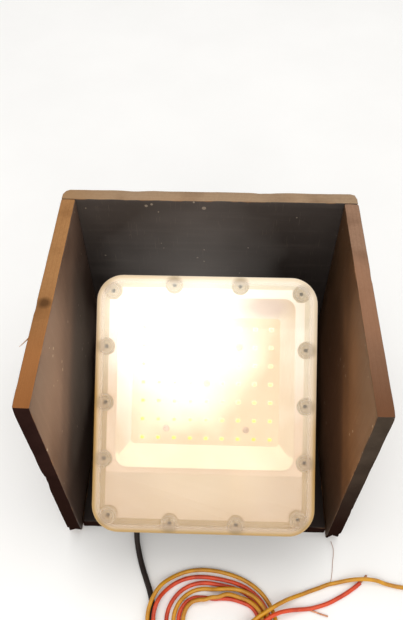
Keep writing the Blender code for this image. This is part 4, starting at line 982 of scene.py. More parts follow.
# Painted shadow of each screw post on the frosted edge.
post_painted_shadow = math_node(tree, "MULTIPLY", over_post, math_node(tree, "MULTIPLY", frost, 0.75))
surface = surface_of(clear_moulding)
edge_tone = mix_node(tree, frost, fed_by(tree, surface["Base Color"]), (0.43, 0.325, 0.165))
edge_glow = mix_node(
    tree, frost, fed_by(tree, surface["Emission Color"]),
    glow_colour(tree, (0.46, 0.43, 0.40), (0.15, 0.065, 0.002), **rim_reach),
)
finish_surface(
    clear_moulding, IOR=1.35, Transmission_Weight=range_node(tree, frost, 0.0, 1.0, 0.97, 0.34),
    Roughness=math_node(tree, "MAXIMUM", frost_rough, math_node(tree, "MULTIPLY", over_post, 0.30)),
    Base_Color=mix_node(tree, post_painted_shadow, edge_tone, (0.20, 0.15, 0.08)),
    Emission_Color=mix_node(tree, post_painted_shadow, edge_glow, (0.08, 0.055, 0.03)),
)
lamp_front = piece_from("clear_lamp_front", front, [clear_moulding, skirt_finish])
posts = piece_from("screw_posts", post_shape, [post_finish])
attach(posts, "lamp")
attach(lamp_front, "lamp")
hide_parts("front_lens")


# Stray light inside the hood, painted as glow
# The lit front's stray light is painted as a soft glow on the boards' inner faces, strongest beside and
# above it.

for board_name, axis, facing, hot, middle, level, near, far in (
    ("left_side_board", "X", 1, (0.056, 0.044, 0.034), (-0.09, 0.03), 0.030, 0.024, 0.105),
    ("right_side_board", "X", -1, (0.024, 0.010, 0.005), (0.09, 0.0), 0.010, 0.030, 0.110),
    ("rear_board", "Y", -1, (0.082, 0.073, 0.066), (-0.012, 0.112), -0.045, 0.005, 0.095),
):
    film = bpy.data.objects["worn_" + board_name].data.materials[0]
    tree = film.node_tree
    painted_stray_glow = glow_colour(tree, hot, (0.0, 0.0, 0.0), middle, near, far, level)
    low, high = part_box(board_name)
    centre = ((low + high) / 2)["XYZ".index(axis)]
    inner = range_node(tree, axes_of(tree, object_place(tree))[axis], centre, centre + facing * 0.004)
    finish_surface(film, Emission_Color=mix_node(tree, inner, (0.0, 0.0, 0.0), painted_stray_glow), Emission_Strength=1.0)


# Screws round the lamp front
# Fourteen plated self-tapping screws hold the front from behind, through the housing's flange.
# Their points show as grey blurs through the clear edge.

screw_steel = mottled_finish(
    "plated_screws", ((0.20, 0.18, 0.15), (0.13, 0.115, 0.095)), (0.35, 0.55), 0.7, 500.0
)

# Puts one part at every vertex and makes the result real.
copies = bpy.data.node_groups.new("same part at every place", "GeometryNodeTree")
copies_inputs = {}
for socket, kind in (
    ("Geometry", "Geometry"), ("Part", "Object"), ("Turn", "Vector"), ("Finish", "Material"),
):
    made = copies.interface.new_socket(name=socket, in_out="INPUT", socket_type="NodeSocket" + kind)
    copies_inputs[socket] = made.identifier
copies.interface.new_socket(name="Geometry", in_out="OUTPUT", socket_type="NodeSocketGeometry")
given = copies.nodes.new("NodeGroupInput").outputs
part_info = add_node(copies, "ObjectInfo", {"Object": given["Part"]})
put = add_node(copies, "InstanceOnPoints", {
    "Points": given["Geometry"], "Instance": part_info.outputs["Geometry"], "Rotation": given["Turn"],
})
real = add_node(copies, "RealizeInstances", {"Geometry": put.outputs["Instances"]})
painted = add_node(copies, "SetMaterial", {
    "Geometry": real.outputs["Geometry"], "Material": given["Finish"],
})
feed(copies, copies.nodes.new("NodeGroupOutput").inputs["Geometry"], painted.outputs["Geometry"])


def place_copies(name, part, spots, turn, finish):
    """One plain mesh that holds the part once at each spot."""
    mesh = bpy.data.meshes.new(name + "_spots")
    mesh.from_pydata([tuple(spot) for spot in spots], [], [])
    holder = in_scene(name + "_spots", mesh)
    step = holder.modifiers.new("copies", "NODES")
    step.node_group = copies
    step[copies_inputs["Part"]] = part
    step[copies_inputs["Turn"]] = tuple(turn)
    step[copies_inputs["Finish"]] = finish
    graph = bpy.context.evaluated_depsgraph_get()
    made = bpy.data.meshes.new_from_object(holder.evaluated_get(graph))
    made.name = name
    bpy.data.objects.remove(holder)
    bpy.data.objects.remove(part)
    made.set_sharp_from_angle(angle=math.radians(40))
    return in_scene(name, made)


def lamp_spots(spots, level):
    return [lamp_place @ Vector((x, y, level)) for x, y in spots]


def screw_part(name, head_radius, head_height, shank_radius, length):
    """Pan-head screw that is driven along +Z from the origin, with a round recess in its head."""
    threads = 5
    profile = [
        (0, -head_height * 0.45), (head_radius * 0.30, -head_height * 0.45),
        (head_radius * 0.34, -head_height), (head_radius * 0.6, -head_height * 0.97),
        (head_radius * 0.9, -head_height * 0.68),
        (head_radius, -head_height * 0.30), (head_radius, 0), (shank_radius, 0),
        (shank_radius * 0.92, length * 0.3),
    ]
    for k in range(threads * 2):
        crest = shank_radius if k % 2 == 0 else shank_radius * 0.82
        profile.append((crest, length * (0.35 + 0.55 * k / (threads * 2))))
    profile += [(shank_radius * 0.5, length * 0.95), (0, length)]
    rings = turned_outlines(profile, sides=24)
    return skinned_piece(name, [ring if radius else ring[:1] for ring, (radius, _) in zip(rings, profile)])


flange_back = 0.0269
front_screws = place_copies(
    "front_screws", screw_part("front_screw", 0.003, 0.002, 0.0015, 0.0101),
    lamp_spots(screw_spots, flange_back - touch), (tilt, 0, 0), screw_steel,
)
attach(front_screws, "lamp")
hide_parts(*[f"lens_screw_{number}" for number in range(1, 15)])


# Seal and white frame round the window
# A soft beige seal lies on the flange, with a bead that meets the front's skirt. On it lies the lip of
# the white pressed tray, scalloped round every screw post. The tray's sides slope to the light board.

def corner_outline(low, high, radii, level, side_steps=220, corner_steps=30):
    """Points round a rectangle whose corners each have their own radius, counted from +X +Y."""
    signs = ((1, 1), (-1, 1), (-1, -1), (1, -1))
    arcs = []
    for corner, ((side_x, side_y), radius) in enumerate(zip(signs, radii)):
        edge_x = high[0] if side_x > 0 else low[0]
        edge_y = high[1] if side_y > 0 else low[1]
        middle = Vector((edge_x - side_x * radius, edge_y - side_y * radius, level))
        arc = []
        for i in range(corner_steps + 1):
            angle = math.pi / 2 * (corner + i / corner_steps)
            arc.append(middle + Vector((radius * math.cos(angle), radius * math.sin(angle), 0)))
        arcs.append(arc)
    points = []
    for arc, following in zip(arcs, arcs[1:] + arcs[:1]):
        points += arc
        points += [arc[-1].lerp(following[0], k / side_steps) for k in range(1, side_steps)]
    return points


def outward_at(points, i):
    along = points[(i + 1) % len(points)] - points[i - 1]
    return Vector((along.y, -along.x, 0)).normalized()


def scalloped(points, reach):
    """Pushes the outline in round each screw post."""
    moved = []
    for i, point in enumerate(points):
        inward = -outward_at(points, i)
        for x, y in screw_spots:
            away = Vector((point.x - x, point.y - y, 0))
            if away.length < reach:
                towards = inward.dot(away)
                push = -towards + math.sqrt(max(0.0, towards ** 2 - away.length_squared + reach ** 2))
                point = point + inward * push
        moved.append(point)
    return moved


def lip_round(throat, low, high, reach):
    """Outer outline of the lip: straight out from the throat to a rectangle or to a screw post."""
    narrowest_lip = 0.0007
    inner = scalloped(throat, reach + narrowest_lip)
    lip = []
    for i, point in enumerate(inner):
        out = outward_at(throat, i)
        distance = 1.0
        for axis in (0, 1):
            if abs(out[axis]) > 0.001:
                edge = high[axis] if out[axis] > 0 else low[axis]
                distance = min(distance, (edge - point[axis]) / out[axis])
        for x, y in screw_spots:
            away = Vector((point.x - x, point.y - y, 0))
            along = away.dot(out)
            inside = along ** 2 - away.length_squared + reach ** 2
            if inside > 0 and 0 <= -along - math.sqrt(inside) < distance:
                distance = -along - math.sqrt(inside)
        lip.append(point + out * distance)
    return lip


def at_level(points, level):
    return [Vector((point.x, point.y, level)) for point in points]


seal_finish = glowing(mottled_finish(
    "beige_seal", ((0.34, 0.255, 0.135), (0.29, 0.215, 0.11)), (0.5, 0.7), bump=0.00005
), (0.68, 0.64, 0.54), (0.25, 0.150, 0.056), **rim_reach)
seal_outlines = []
for inset, level, reach in (
    (0.0006, 0.0303, 0), (0.0006, 0.0318, 0), (0.0008, 0.03195, 0), (0.0035, 0.03195, 0),
    (0.0040, 0.0317, 0), (0.0132, 0.0317, 0.0075), (0.0134, 0.0316, 0.0076), (0.0134, 0.0303, 0.0076),
):
    half_x = face_width / 2 - inset
    half_y = face_height / 2 - inset
    radii = (face_corner - inset,) * 4
    outline = corner_outline((-half_x, -half_y), (half_x, half_y), radii, level)
    seal_outlines.append(scalloped(outline, reach))
seal = skinned_piece("front_seal", on_lamp(seal_outlines), [seal_finish], closed=True)
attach(seal, "lamp")
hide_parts("lens_gasket")

# The tray's one white plastic in three copies, each with its own painted glow: for the sloping walls, the
# lip and the lower wall.
white_tray = glowing(mottled_finish(
    "white_tray", ((0.27, 0.24, 0.19), (0.24, 0.21, 0.165)), (0.32, 0.45), blotch=40.0, grain_scale=800.0
), (1.15, 1.13, 1.02), (0.62, 0.44, 0.275), (-0.022, 0.045), 0.035, 0.098)
tray_lip_painted_glow = glowing(mottled_finish(
    "white_tray_lip_with_painted_glow", ((0.27, 0.23, 0.18), (0.24, 0.205, 0.16)), (0.32, 0.45), blotch=40.0, grain_scale=800.0
), (1.05, 1.02, 0.92), (0.57, 0.375, 0.230), (-0.005, 0.095), 0.045, 0.128)
tray_foot_painted_glow = glowing(mottled_finish(
    "white_tray_foot_with_painted_glow", ((0.27, 0.24, 0.20), (0.24, 0.21, 0.175)), (0.32, 0.45), blotch=40.0,
    grain_scale=800.0,
), (0.80, 0.76, 0.50), (0.72, 0.60, 0.38), (-0.005, -0.045), 0.045, 0.085)
# A painted shade, rosy in tone, lies on the tray's slope in its far right corner, where that slope is in
# shadow.
tree = white_tray.node_tree
painted_shade_reach = face_frame(tree, lamp_place @ Vector((0.050, 0.080, 0.026)), (0.024, 0.011, 0.03))
shade = range_node(tree, vector_node(tree, "LENGTH", painted_shade_reach), 0.45, 1.1, 1.0, 0.0)
tray_glow = fed_by(tree, surface_of(white_tray)["Emission Color"])
finish_surface(white_tray, Emission_Color=mix_node(tree, shade, tray_glow, (0.62, 0.47, 0.40)))

frame_x = 0.0805
frame_y = 0.09475
split_high = -0.0574
split_low = -0.0575
lip_back = 0.0318
lip_front = 0.0326
throat = corner_outline((-0.0743, -0.0546), (0.0743, 0.0886), (0.0105,) * 4, 0)
tray_lip = lip_round(throat, (-frame_x, split_high), (frame_x, frame_y), 0.007)
tray_outlines = [at_level(tray_lip, level) for level in (lip_back, lip_front)]
for low_y, high_y, half_x, radius, level, reach in (
    (-0.0546, 0.0886, 0.0743, 0.0105, 0.0326, 0.0077), (-0.0540, 0.0880, 0.0737, 0.0100, 0.0322, 0.0080),
    (-0.0534, 0.0874, 0.0731, 0.0095, 0.0310, 0.0082), (-0.0500, 0.0842, 0.0710, 0.0083, 0.0286, 0.0070),
    (-0.0362, 0.0713, 0.0622, 0.0035, 0.0189, 0), (-0.0360, 0.0710, 0.0620, 0.0030, 0.0185, 0),
    (-0.0370, 0.0720, 0.0630, 0.0030, 0.0185, 0), (-0.0546, 0.0886, 0.0741, 0.0100, 0.0307, 0),
):
    outline = corner_outline((-half_x, low_y), (half_x, high_y), (radius,) * 4, level)
    tray_outlines.append(scalloped(outline, reach))
tray_back = corner_outline((-0.076, split_high), (0.076, 0.09025), (0.012, 0.012, 0.0012, 0.0012), 0)
tray_outlines += [at_level(tray_back, level) for level in (0.0307, lip_back)]
tray_shape = bmesh.new()
skin_rings(tray_shape, on_lamp(tray_outlines), closed=True)
# Faces of the lip and of the lower wall take their own painted-glow copies of the white plastic.
for face in tray_shape.faces:
    middle = into_lamp @ face.calc_center_median()
    if middle.z > 0.0315:
        face.material_index = 1
    elif middle.y < -0.0362 - 0.6 * max(0.0, abs(middle.x) - 0.0622):
        face.material_index = 2
tray = piece_from(
    "white_reflector_tray", tray_shape, [white_tray, tray_lip_painted_glow, tray_foot_painted_glow], sharp=50
)
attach(tray, "lamp")
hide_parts("reflector_tray")


# Cover over the driver
# A plain white moulded plate fills the foot of the window. Its three outer sides are scalloped
# round the screw posts like the tray's lip.

cover_finish = glowing(mottled_finish(
    "white_cover", ((0.27, 0.23, 0.175), (0.24, 0.205, 0.15)), (0.35, 0.5), blotch=30.0, grain_scale=800.0
), (0.54, 0.375, 0.225), (0.47, 0.305, 0.18), (0.0, -0.050), 0.020, 0.070)
cover_radii = (0.0012, 0.0012, 0.012, 0.012)
cover_foot = corner_outline((-0.0755, -0.0898), (0.0755, split_low - 0.0004), cover_radii, 0.0303)
cover_lip = scalloped(corner_outline((-frame_x, -frame_y), (frame_x, split_low), cover_radii, 0), 0.007)
chamfer = 0.0003
cover_top = scalloped(corner_outline(
    (-frame_x + chamfer, -frame_y + chamfer), (frame_x - chamfer, split_low - chamfer),
    (0.0010, 0.0010, 0.0117, 0.0117), 0.0328,
), 0.0073)
cover_outlines = [cover_foot, at_level(cover_lip, lip_back), at_level(cover_lip, lip_front), cover_top]
cover = skinned_piece("white_driver_cover", on_lamp(cover_outlines), [cover_finish], sharp=50)
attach(cover, "lamp")
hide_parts("driver_cover")


# Light board
# White coated aluminium board with nine columns and seven rows of small light chips. Three spots
# are free and take screws. The whole board is over-bright, so the chips only show as yellow squares.

board_middle = 0.0175
board_front = 0.0182
board_finish = glowing(mottled_finish(
    "light_board_coat", ((0.27, 0.22, 0.175), (0.24, 0.195, 0.155)), (0.35, 0.5), blotch=50.0
), (1.40, 1.37, 1.00), (0.68, 0.48, 0.265), (-0.026, 0.050), 0.010, 0.085)
light_board = skinned_piece("white_light_board", on_lamp([
    rounded_outline(0.1320 - 2 * inset, 0.1160 - 2 * inset, 0.002 - inset, level, board_middle, 4)
    for inset, level in ((0.0002, 0.0166), (0, 0.0168), (0, 0.0180), (0.0002, board_front))
]), [board_finish])
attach(light_board, "lamp")
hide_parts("light_board")


def chip_spot(column, row):
    return 0.0010 + (column - 4) * 0.0134, 0.0156 + (row - 3) * 0.0154


free_spots = ((2, 5), (6, 5), (4, 3))
chip_spots = [
    chip_spot(column, row) for column in range(9) for row in range(7) if (column, row) not in free_spots
]
chip_body = glowing(mottled_finish(
    "chip_body", ((0.30, 0.27, 0.17), (0.27, 0.24, 0.14)), (0.3, 0.45), blotch=300.0
), (1.5, 1.5, 1.2), (0.90, 0.66, 0.28), (0.005, 0.055), 0.030, 0.095)
phosphor = glowing(mottled_finish(
    "phosphor", ((0.30, 0.26, 0.04), (0.28, 0.23, 0.03)), (0.25, 0.35), blotch=700.0
), (1.6, 1.6, 0.68), (1.30, 0.60, 0.02), (0.005, 0.055), 0.030, 0.100)
for piece_name, finish, foot, sizes in (
    ("chip_bodies", chip_body, board_front, (
        (0.0034, 0.0027, 0.0003, 0), (0.0035, 0.0028, 0.0003, 0.0002), (0.0035, 0.0028, 0.0003, 0.0006),
        (0.0033, 0.0026, 0.0003, 0.0008),
    )),
    ("chip_phosphor", phosphor, board_front + 0.0008, (
        (0.0030, 0.0024, 0.0006, -0.0002), (0.0030, 0.0024, 0.0006, 0.0001),
        (0.0027, 0.0021, 0.0006, 0.0002),
    )),
):
    part = skinned_piece("one_of_the_" + piece_name, [
        rounded_outline(width, height, radius, level, corner_steps=3)
        for width, height, radius, level in sizes
    ])
    chips = place_copies(piece_name, part, lamp_spots(chip_spots, foot), (tilt, 0, 0), finish)
    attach(chips, "lamp")
board_screw_spots = [chip_spot(column, row) for column, row in (*free_spots, (1.5, 0.5), (6.5, 0.5))]
board_screw_finish = glowing(mottled_finish(
    "board_screws", ((0.42, 0.30, 0.24), (0.34, 0.23, 0.18)), (0.35, 0.5), 0.3, 500.0
), (0.60, 0.50, 0.40), (0.30, 0.19, 0.12), (-0.022, 0.045), 0.030, 0.100)
board_screws = place_copies(
    "light_board_screws", screw_part("board_screw", 0.0028, 0.0014, 0.0014, 0.0046),
    lamp_spots(board_screw_spots, board_front + touch), (tilt + math.pi, 0, 0), board_screw_finish,
)
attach(board_screws, "lamp")
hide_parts(*[f"light_board_screw_{number}" for number in range(1, 6)])


# Rear housing
# Die-cast aluminium pan in dark grey powder paint. Its flange carries the front, nine fins stand on
# its back and two lugs take the tilt bolts.

cast_paint = mottled_finish(
    "dark_powder_paint", ((0.030, 0.030, 0.032), (0.046, 0.046, 0.049)), (0.42, 0.6), 0.0, 80.0, 2600.0,
    0.00006,
)
back_level = 0.0120
pan = skinned_piece("cast_rear_housing", on_lamp([
    rounded_outline(0.1440, 0.1725, 0.009, 0.0150), rounded_outline(0.1466, 0.1751, 0.0103, 0.0155),
    rounded_outline(0.1480, 0.1765, 0.011, 0.0175), rounded_outline(0.1480, 0.1765, 0.011, 0.0294),
    rounded_outline(0.1490, 0.1775, 0.0115, 0.0299), face_outline(0.0014, 0.0299),
    face_outline(0.0010, 0.0295), face_outline(0.0010, 0.0272), face_outline(0.0013, flange_back),
    rounded_outline(0.1564, 0.1849, 0.0152, flange_back), rounded_outline(0.1544, 0.1829, 0.0142, 0.0263),
    rounded_outline(0.1540, 0.1825, 0.014, 0.0250), rounded_outline(0.1536, 0.1821, 0.014, 0.0150),
    rounded_outline(0.1524, 0.1809, 0.0134, 0.0130), rounded_outline(0.1500, 0.1785, 0.0122, 0.0121),
    rounded_outline(0.1470, 0.1755, 0.0107, back_level),
]), [cast_paint], sharp=50)
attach(pan, "lamp")
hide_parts("rear_housing")
fin = skinned_piece("fin", [
    rounded_outline(thickness, high_y - low_y, thickness * 0.46, level, (low_y + high_y) / 2, 4)
    for thickness, low_y, high_y, level in (
        (0.0028, -0.0645, 0.0845, 0.0006), (0.0025, -0.0642, 0.0842, -0.0006),
        (0.0023, -0.0640, 0.0840, -0.0056), (0.0019, -0.0630, 0.0830, -0.0072),
        (0.0010, -0.0622, 0.0822, -0.0075),
    )
])
fin_spots = [((i - 4) * 0.012, 0) for i in range(9)]
fins = place_copies("cooling_fins", fin, lamp_spots(fin_spots, back_level), (tilt, 0, 0), cast_paint)
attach(fins, "lamp")
lug_root = 0.0125
for side_name, side in (("left", -1), ("right", 1)):
    lug_outlines = []
    for x, radius in (
        (0.060, 0.0100), (0.0603, 0.0107), (0.0608, 0.011), (0.0692, 0.011), (0.0697, 0.0107),
        (0.070, 0.0100),
    ):
        angles = [math.pi * i / 24 for i in range(25)]
        round_end = [(radius * math.cos(angle), -radius * math.sin(angle)) for angle in angles]
        outline = [(radius, lug_root), *round_end, (-radius, lug_root)]
        lug_outlines.append([(side * x, y, z) for y, z in outline])
    lug = skinned_piece("tilt_lug_" + side_name, on_lamp(lug_outlines), [cast_paint])
    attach(lug, "lamp")


# U bracket and its screws
# One strip of painted steel, bent up twice, is screwed to the base board by two pan-head screws.
# Both ends are rounded about the tilt bolts, and the spare hole in the middle stays open.

bracket_paint = mottled_finish(
    "black_bracket_paint", ((0.018, 0.018, 0.018), (0.032, 0.031, 0.030)), (0.3, 0.5), 0.0, 90.0, 1800.0,
    0.00004,
)
leg_level = 0.0138
arm_x = 0.0718
bend = 0.0045
arm_end = 0.011
half_strip = 0.0015
quarter_turn = math.pi / 2
# Half of the strip's route, as x, z, its turn from upright and half its width.
route = []
for i in range(13):
    angle = quarter_turn * (1 - i / 12)
    half_width = max(0.0012, arm_end * math.cos(angle))
    route.append((-arm_x, tilt_axis.z + arm_end * math.sin(angle), 0, half_width))
for k in range(1, 9):
    route.append((-arm_x, tilt_axis.z - (tilt_axis.z - leg_level - bend - 0.012) * k / 8, 0, arm_end))
route.append((-arm_x, leg_level + bend, 0, 0.0125))
for i in range(1, 8):
    angle = quarter_turn * i / 8
    x = -arm_x + bend - bend * math.cos(angle)
    route.append((x, leg_level + bend - bend * math.sin(angle), angle, 0.0128))
for k in range(13):
    route.append((-arm_x + bend + (arm_x - bend) * k / 12, leg_level, quarter_turn, 0.013))
route += [(-x, z, math.pi - angle, width) for x, z, angle, width in reversed(route[:-1])]
strip_rings = []
for x, z, angle, width in route:
    outward = Vector((-math.cos(angle), 0, -math.sin(angle)))
    strip_rings.append([
        Vector((x, pivot.y + across * width, z)) + outward * half_strip * out for across, out in (
            (-1, -0.75), (-1, 0.75), (-0.985, 0.95), (-0.95, 1), (0.95, 1), (0.985, 0.95), (1, 0.75),
            (1, -0.75), (0.985, -0.95), (0.95, -1), (-0.95, -1), (-0.985, -0.95),
        )
    ])
bracket = skinned_piece("bent_steel_bracket", strip_rings, [bracket_paint])
hole = bmesh.new()
bmesh.ops.create_cone(
    hole, cap_ends=True, segments=32, radius1=0.005, radius2=0.005, depth=0.02,
    matrix=Matrix.Translation((0, pivot.y, leg_level)),
)
hole_piece = piece_from("bracket_hole", hole, [bracket_paint])
cut = bracket.modifiers.new("hole", "BOOLEAN")
cut.operation = "DIFFERENCE"
cut.object = hole_piece
graph = bpy.context.evaluated_depsgraph_get()
bracket_mesh = bpy.data.meshes.new_from_object(bracket.evaluated_get(graph))
bracket.modifiers.clear()
bracket.data = bracket_mesh
bpy.data.objects.remove(hole_piece)
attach(bracket, "hood")
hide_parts("u_bracket")
zinc = mottled_finish("zinc_plating", ((0.46, 0.46, 0.44), (0.34, 0.34, 0.33)), (0.28, 0.5), 0.95, 220.0)
bracket_screws = place_copies(
    "bracket_screws", screw_part("bracket_screw", 0.0042, 0.0028, 0.002, 0.0118),
    [(side * 0.030, pivot.y, 0.0156) for side in (-1, 1)], (math.pi, 0, 0), zinc,
)
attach(bracket_screws, "hood")
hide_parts("bracket_screw_1", "bracket_screw_2")


# Tilt bolts and spring washers
# A zinc-plated hexagon bolt and a split spring washer clamp each arm of the bracket to its lug.

def hexagon_reach(k, sides, half_across):
    """Distance of a hexagon's edge from its middle, at one of the even steps round it."""
    turn = math.tau * k / sides
    return half_across / math.cos((turn + math.pi / 6) % (math.pi / 3) - math.pi / 6)


head_near = 0.0755
head_far = 0.0808
washer_gap = math.radians(8)
washer_rise = 0.0003
for number in (1, 2):
    side = 1 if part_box(f"tilt_bolt_{number}")[0].x > 0 else -1
    bolt_rings = []
    for x, reach, corners in (
        (0.0611, 0.0030, 1), (0.0616, 0.0038, 1), (0.0750, 0.0040, 1), (head_near, 0.0040, 1),
        (head_near, 0.0068, 1), (head_near + 0.0003, 0.0071, 1), (head_near + 0.0004, 0.0072, 1.04),
        (head_far - 0.0007, 0.0072, 1.04), (head_far - 0.0001, 0.0065, 1), (head_far, 0.0060, 1),
    ):
        ring = []
        for k, (across, rise) in enumerate(round_steps(48)):
            radius = min(reach * corners, hexagon_reach(k, 48, 0.0062))
            ring.append(pivot + Vector((side * x, radius * across, radius * rise)))
        bolt_rings.append(ring)
    bolt = skinned_piece(f"hexagon_bolt_{number}", bolt_rings, [zinc], sharp=30)
    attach(bolt, "lamp")
    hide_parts(f"tilt_bolt_{number}")
    washer_rings = []
    for k in range(61):
        angle = quarter_turn + washer_gap / 2 + (math.tau - washer_gap) * k / 60
        x = 0.0736 + washer_rise * k / 60
        out = Vector((0, math.cos(angle), math.sin(angle)))
        washer_rings.append([
            pivot + Vector((side * (x + thick), 0, 0)) + out * radius for radius, thick in (
                (0.0044, 0.0001), (0.0046, 0), (0.0066, 0), (0.0068, 0.0001), (0.0068, 0.0012),
                (0.0066, 0.0013), (0.0046, 0.0013), (0.0044, 0.0012),
            )
        ])
    washer = skinned_piece(f"split_washer_{number}", washer_rings, [zinc])
    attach(washer, "lamp")
    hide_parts(f"spring_washer_{number}")


# Cable gland
# Black nylon gland with a hexagon flange and a ribbed dome nut that squeezes a rubber seal on the lead.

black_nylon = mottled_finish(
    "black_nylon", ((0.020, 0.020, 0.021), (0.033, 0.033, 0.034)), (0.38, 0.55), blotch=150.0, bump=0.00003
)
gland_root = Matrix.Translation((gland_tip.x, gland_tip.y, back_level))
gland_place = lamp_place @ gland_root @ Matrix.Rotation(math.pi, 4, "X")
rib_count = 12
nut_rings = []
for reach, down, ribs in (
    (0.0029, 0.0152, 0), (0.0052, 0.0152, 0), (0.0060, 0.0147, 0), (0.0068, 0.0128, 0.3),
    (0.0074, 0.0105, 1), (0.0075, 0.0062, 1), (0.0072, 0.0057, 0.3), (0.0060, 0.0056, 0),
    (0.0060, 0.0127, 0), (0.0029, 0.0134, 0),
):
    ring = []
    for k, (across, rise) in enumerate(round_steps(96)):
        radius = reach + 0.0004 * ribs * max(0.0, math.cos(rib_count * math.tau * k / 96)) ** 0.5
        ring.append(gland_place @ Vector((radius * across, radius * rise, down)))
    nut_rings.append(ring)
nut = skinned_piece("ribbed_gland_nut", nut_rings, [black_nylon], closed=True)
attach(nut, "lamp")
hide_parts("gland_nut")
gland_rings = []
for reach, down in (
    (0.0029, -0.0084), (0.0054, -0.0084), (0.0056, -0.0080), (0.0056, 0.0003), (0.0080, 0.0003),
    (0.0086, 0.0006), (0.0086, 0.0048), (0.0078, 0.0053), (0.0056, 0.0053), (0.0055, 0.0108),
    (0.0029, 0.0108),
):
    ring = []
    for k, (across, rise) in enumerate(round_steps(72)):
        radius = min(reach, hexagon_reach(k, 72, 0.0076))
        ring.append(gland_place @ Vector((radius * across, radius * rise, down)))
    gland_rings.append(ring)
gland = skinned_piece("hexagon_gland_body", gland_rings, [black_nylon], closed=True, sharp=30)
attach(gland, "lamp")
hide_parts("gland_body")


# Parts inside the lamp and behind it
# These keep the shapes of the CAD and get their own surfaces: the driver with its components, the
# inner wires, the thermal pad, the earth screw, the vent and what lies inside the gland.

inner_finishes = {"zinc": zinc, "nylon": black_nylon, "red": red_insulation, "sheath": black_sheath}
for key, name, tones, roughness, metallic, blotch in (
    ("brass", "brass_screw", ((0.60, 0.42, 0.16), (0.45, 0.30, 0.11)), (0.25, 0.45), 1.0, 300.0),
    ("pad", "grey_pad", ((0.30, 0.31, 0.33), (0.24, 0.25, 0.27)), (0.7, 0.85), 0.0, 120.0),
    ("board", "green_circuit_board", ((0.020, 0.14, 0.055), (0.012, 0.09, 0.038)), (0.25, 0.4), 0.0, 240.0),
    ("sleeve", "capacitor_sleeve", ((0.018, 0.028, 0.070), (0.012, 0.018, 0.045)), (0.25, 0.35), 0.0, 200.0),
    ("fuse", "fuse_sleeve", ((0.60, 0.56, 0.46), (0.48, 0.44, 0.36)), (0.3, 0.5), 0.0, 260.0),
    ("terminal", "terminal_plastic", ((0.03, 0.22, 0.10), (0.02, 0.16, 0.07)), (0.35, 0.5), 0.0, 180.0),
    ("rubber", "soft_rubber", ((0.10, 0.10, 0.10), (0.07, 0.07, 0.07)), (0.6, 0.8), 0.0, 300.0),
    ("twin", "twin_sheath", ((0.20, 0.19, 0.18), (0.15, 0.14, 0.135)), (0.4, 0.6), 0.0, 200.0),
):
    inner_finishes[key] = mottled_finish(name, tones, roughness, metallic, blotch)
inner_finishes["winding"] = mottled_finish(
    "copper_winding", ((0.50, 0.20, 0.08), (0.32, 0.12, 0.05)), (0.3, 0.45), 0.9, 900.0, 2400.0, 0.00008
)
for node_name, key in (
    ("earth_screw", "brass"), ("thermal_pad", "pad"), ("driver_board", "board"), ("driver_screw_1", "zinc"),
    ("driver_screw_2", "zinc"), ("driver_capacitor", "sleeve"), ("driver_choke", "winding"),
    ("driver_fuse", "fuse"), ("terminal_block", "terminal"), ("supply_wire", "twin"), ("light_wire", "red"),
    ("gland_locknut", "nylon"), ("breather_vent", "nylon"), ("gland_seal", "rubber"),
    ("lead_tail", "sheath"),
):
    node = frame["nodes"][node_name]
    node.data.materials.clear()
    node.data.materials.append(inner_finishes[key])


# Scraps that lie on the surface
# A short twist of bare copper lies by the red wire, and a pale fibre runs out from the hood's right
# front corner. Both only lie there, so they belong to the surroundings.

fibre_finish = mottled_finish(
    "brown_fibre", ((0.34, 0.17, 0.12), (0.50, 0.34, 0.27)), (0.6, 0.8), blotch=110.0, bump=0.00001
)
for name, radius, finish, spots in (
    ("copper_scrap", 0.0007, bare_copper, (
        (0.0915, -0.0600), (0.0950, -0.0612), (0.0985, -0.0622), (0.1020, -0.0634), (0.1085, -0.0652),
    )),
    ("copper_scrap_strand", 0.0004, bare_copper, ((0.0925, -0.0592), (0.0960, -0.0612), (0.0980, -0.0616))),
    ("pale_fibre", 0.00025, fibre_finish, (
        (0.1170, -0.0010), (0.1186, -0.0090), (0.1168, -0.0200), (0.1152, -0.0300), (0.1130, -0.0380),
    )),
):
    path = rounded_path([(x, y, radius + 0.0002) for x, y in spots])
    tube_curve(name, path, radius, finish, 2)


# Surroundings
# A pale matt table top under soft, nearly shadowless room light. The photographer stands over the open
# front and looks down across the lamp's face.

table_finish = mottled_finish(
    "pale_table_top", ((0.91, 0.91, 0.90), (0.885, 0.885, 0.875)), (0.6, 0.75), blotch=6.0, grain_scale=300.0
)
table_mesh = bpy.data.meshes.new("table_top")
table_mesh.from_pydata(
    [(x, y, -0.0001) for x, y in ((-4, -4), (4, -4), (4, 4), (-4, 4))], [], [(0, 1, 2, 3)]
)
table_mesh.materials.append(table_finish)
in_scene("table_top", table_mesh)
world = bpy.data.worlds.new("soft_room_light")
bpy.context.scene.world = world
world.use_nodes = True
room = world.node_tree.nodes["Background"].inputs
room["Color"].default_value = (1.0, 0.99, 0.98, 1)
room["Strength"].default_value = 0.85
bpy.context.scene.view_settings.view_transform = "Standard"


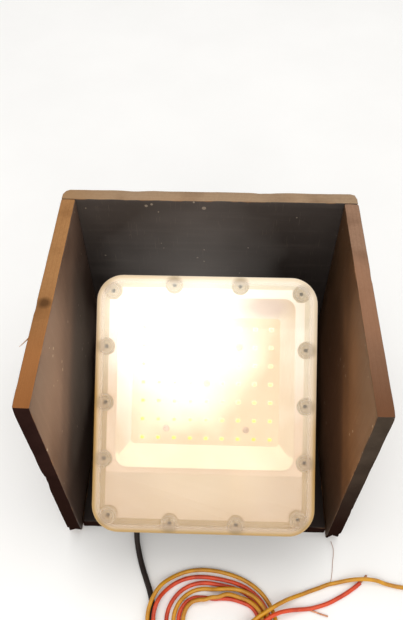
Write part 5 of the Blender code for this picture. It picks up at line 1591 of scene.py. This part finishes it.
def area_light(name, size, energy, place, colour):
    data = bpy.data.lights.new(name, "AREA")
    data.shape = "RECTANGLE"
    data.size, data.size_y = size
    data.energy = energy
    data.color = colour
    light = in_scene(name, data)
    light.matrix_world = place
    return light


for name, size, energy, spot, lean, colour in (
    ("overhead_light", (1.2, 1.2), 7.0, (0.1, 0.3, 1.6), math.radians(11), (1.0, 0.98, 0.95)),
    ("light_behind_the_viewer", (0.7, 0.5), 2.2, (0.0, -0.62, 0.62), math.radians(42), (1.0, 0.97, 0.93)),
):
    area_light(name, size, energy, Matrix.Translation(spot) @ Matrix.Rotation(lean, 4, "X"), colour)
lamp_body = frame["bodies"]["lamp"]
lamp_light = (1.0, 0.80, 0.58)
amber_light = (1.0, 0.72, 0.42)
# Each of the lamp's lights: its size, energy, place on the lamp's face, turn and colour.
for name, size, energy, spot, angle, axis, colour in (
    ("light_of_the_lamp", (0.160, 0.150), 0.30, (0, board_middle, 0.012), math.pi, "X", lamp_light),
    ("light_to_the_left", (0.080, 0.120), 0.110, (-0.02, 0.017, 0.045), quarter_turn, "Y", lamp_light),
    ("light_to_the_right", (0.024, 0.090), 0.046, (0.02, -0.030, 0.016), -quarter_turn, "Y", amber_light),
    ("light_to_the_rear", (0.140, 0.016), 0.014, (-0.01, 0.080, 0.022), quarter_turn, "X", lamp_light),
):
    off_face = Matrix.Translation((spot[0], spot[1], face_level + spot[2]))
    light = area_light(name, size, energy, lamp_place @ off_face @ Matrix.Rotation(angle, 4, axis), colour)
    light.visible_glossy = False
    light.visible_camera = False
    light.visible_transmission = False
    light.parent = lamp_body
    light.matrix_parent_inverse = lamp_body.matrix_world.inverted()

camera_data = bpy.data.cameras.new("camera")
camera_data.lens = 37.595
camera_data.sensor_width = 36.0
camera = in_scene("camera", camera_data)
bpy.context.scene.camera = camera
view_right = Vector((0.99953, 0.03008, -0.00525)).normalized()
view_up = Vector((-0.02039, 0.78532, 0.61876)).normalized()
view_axes = Matrix((view_right, view_up, view_right.cross(view_up))).transposed()
camera_spot = Vector((0.00765, -0.20499 + front_y, 0.59865))
camera.matrix_world = Matrix.Translation(camera_spot) @ view_axes.to_4x4()
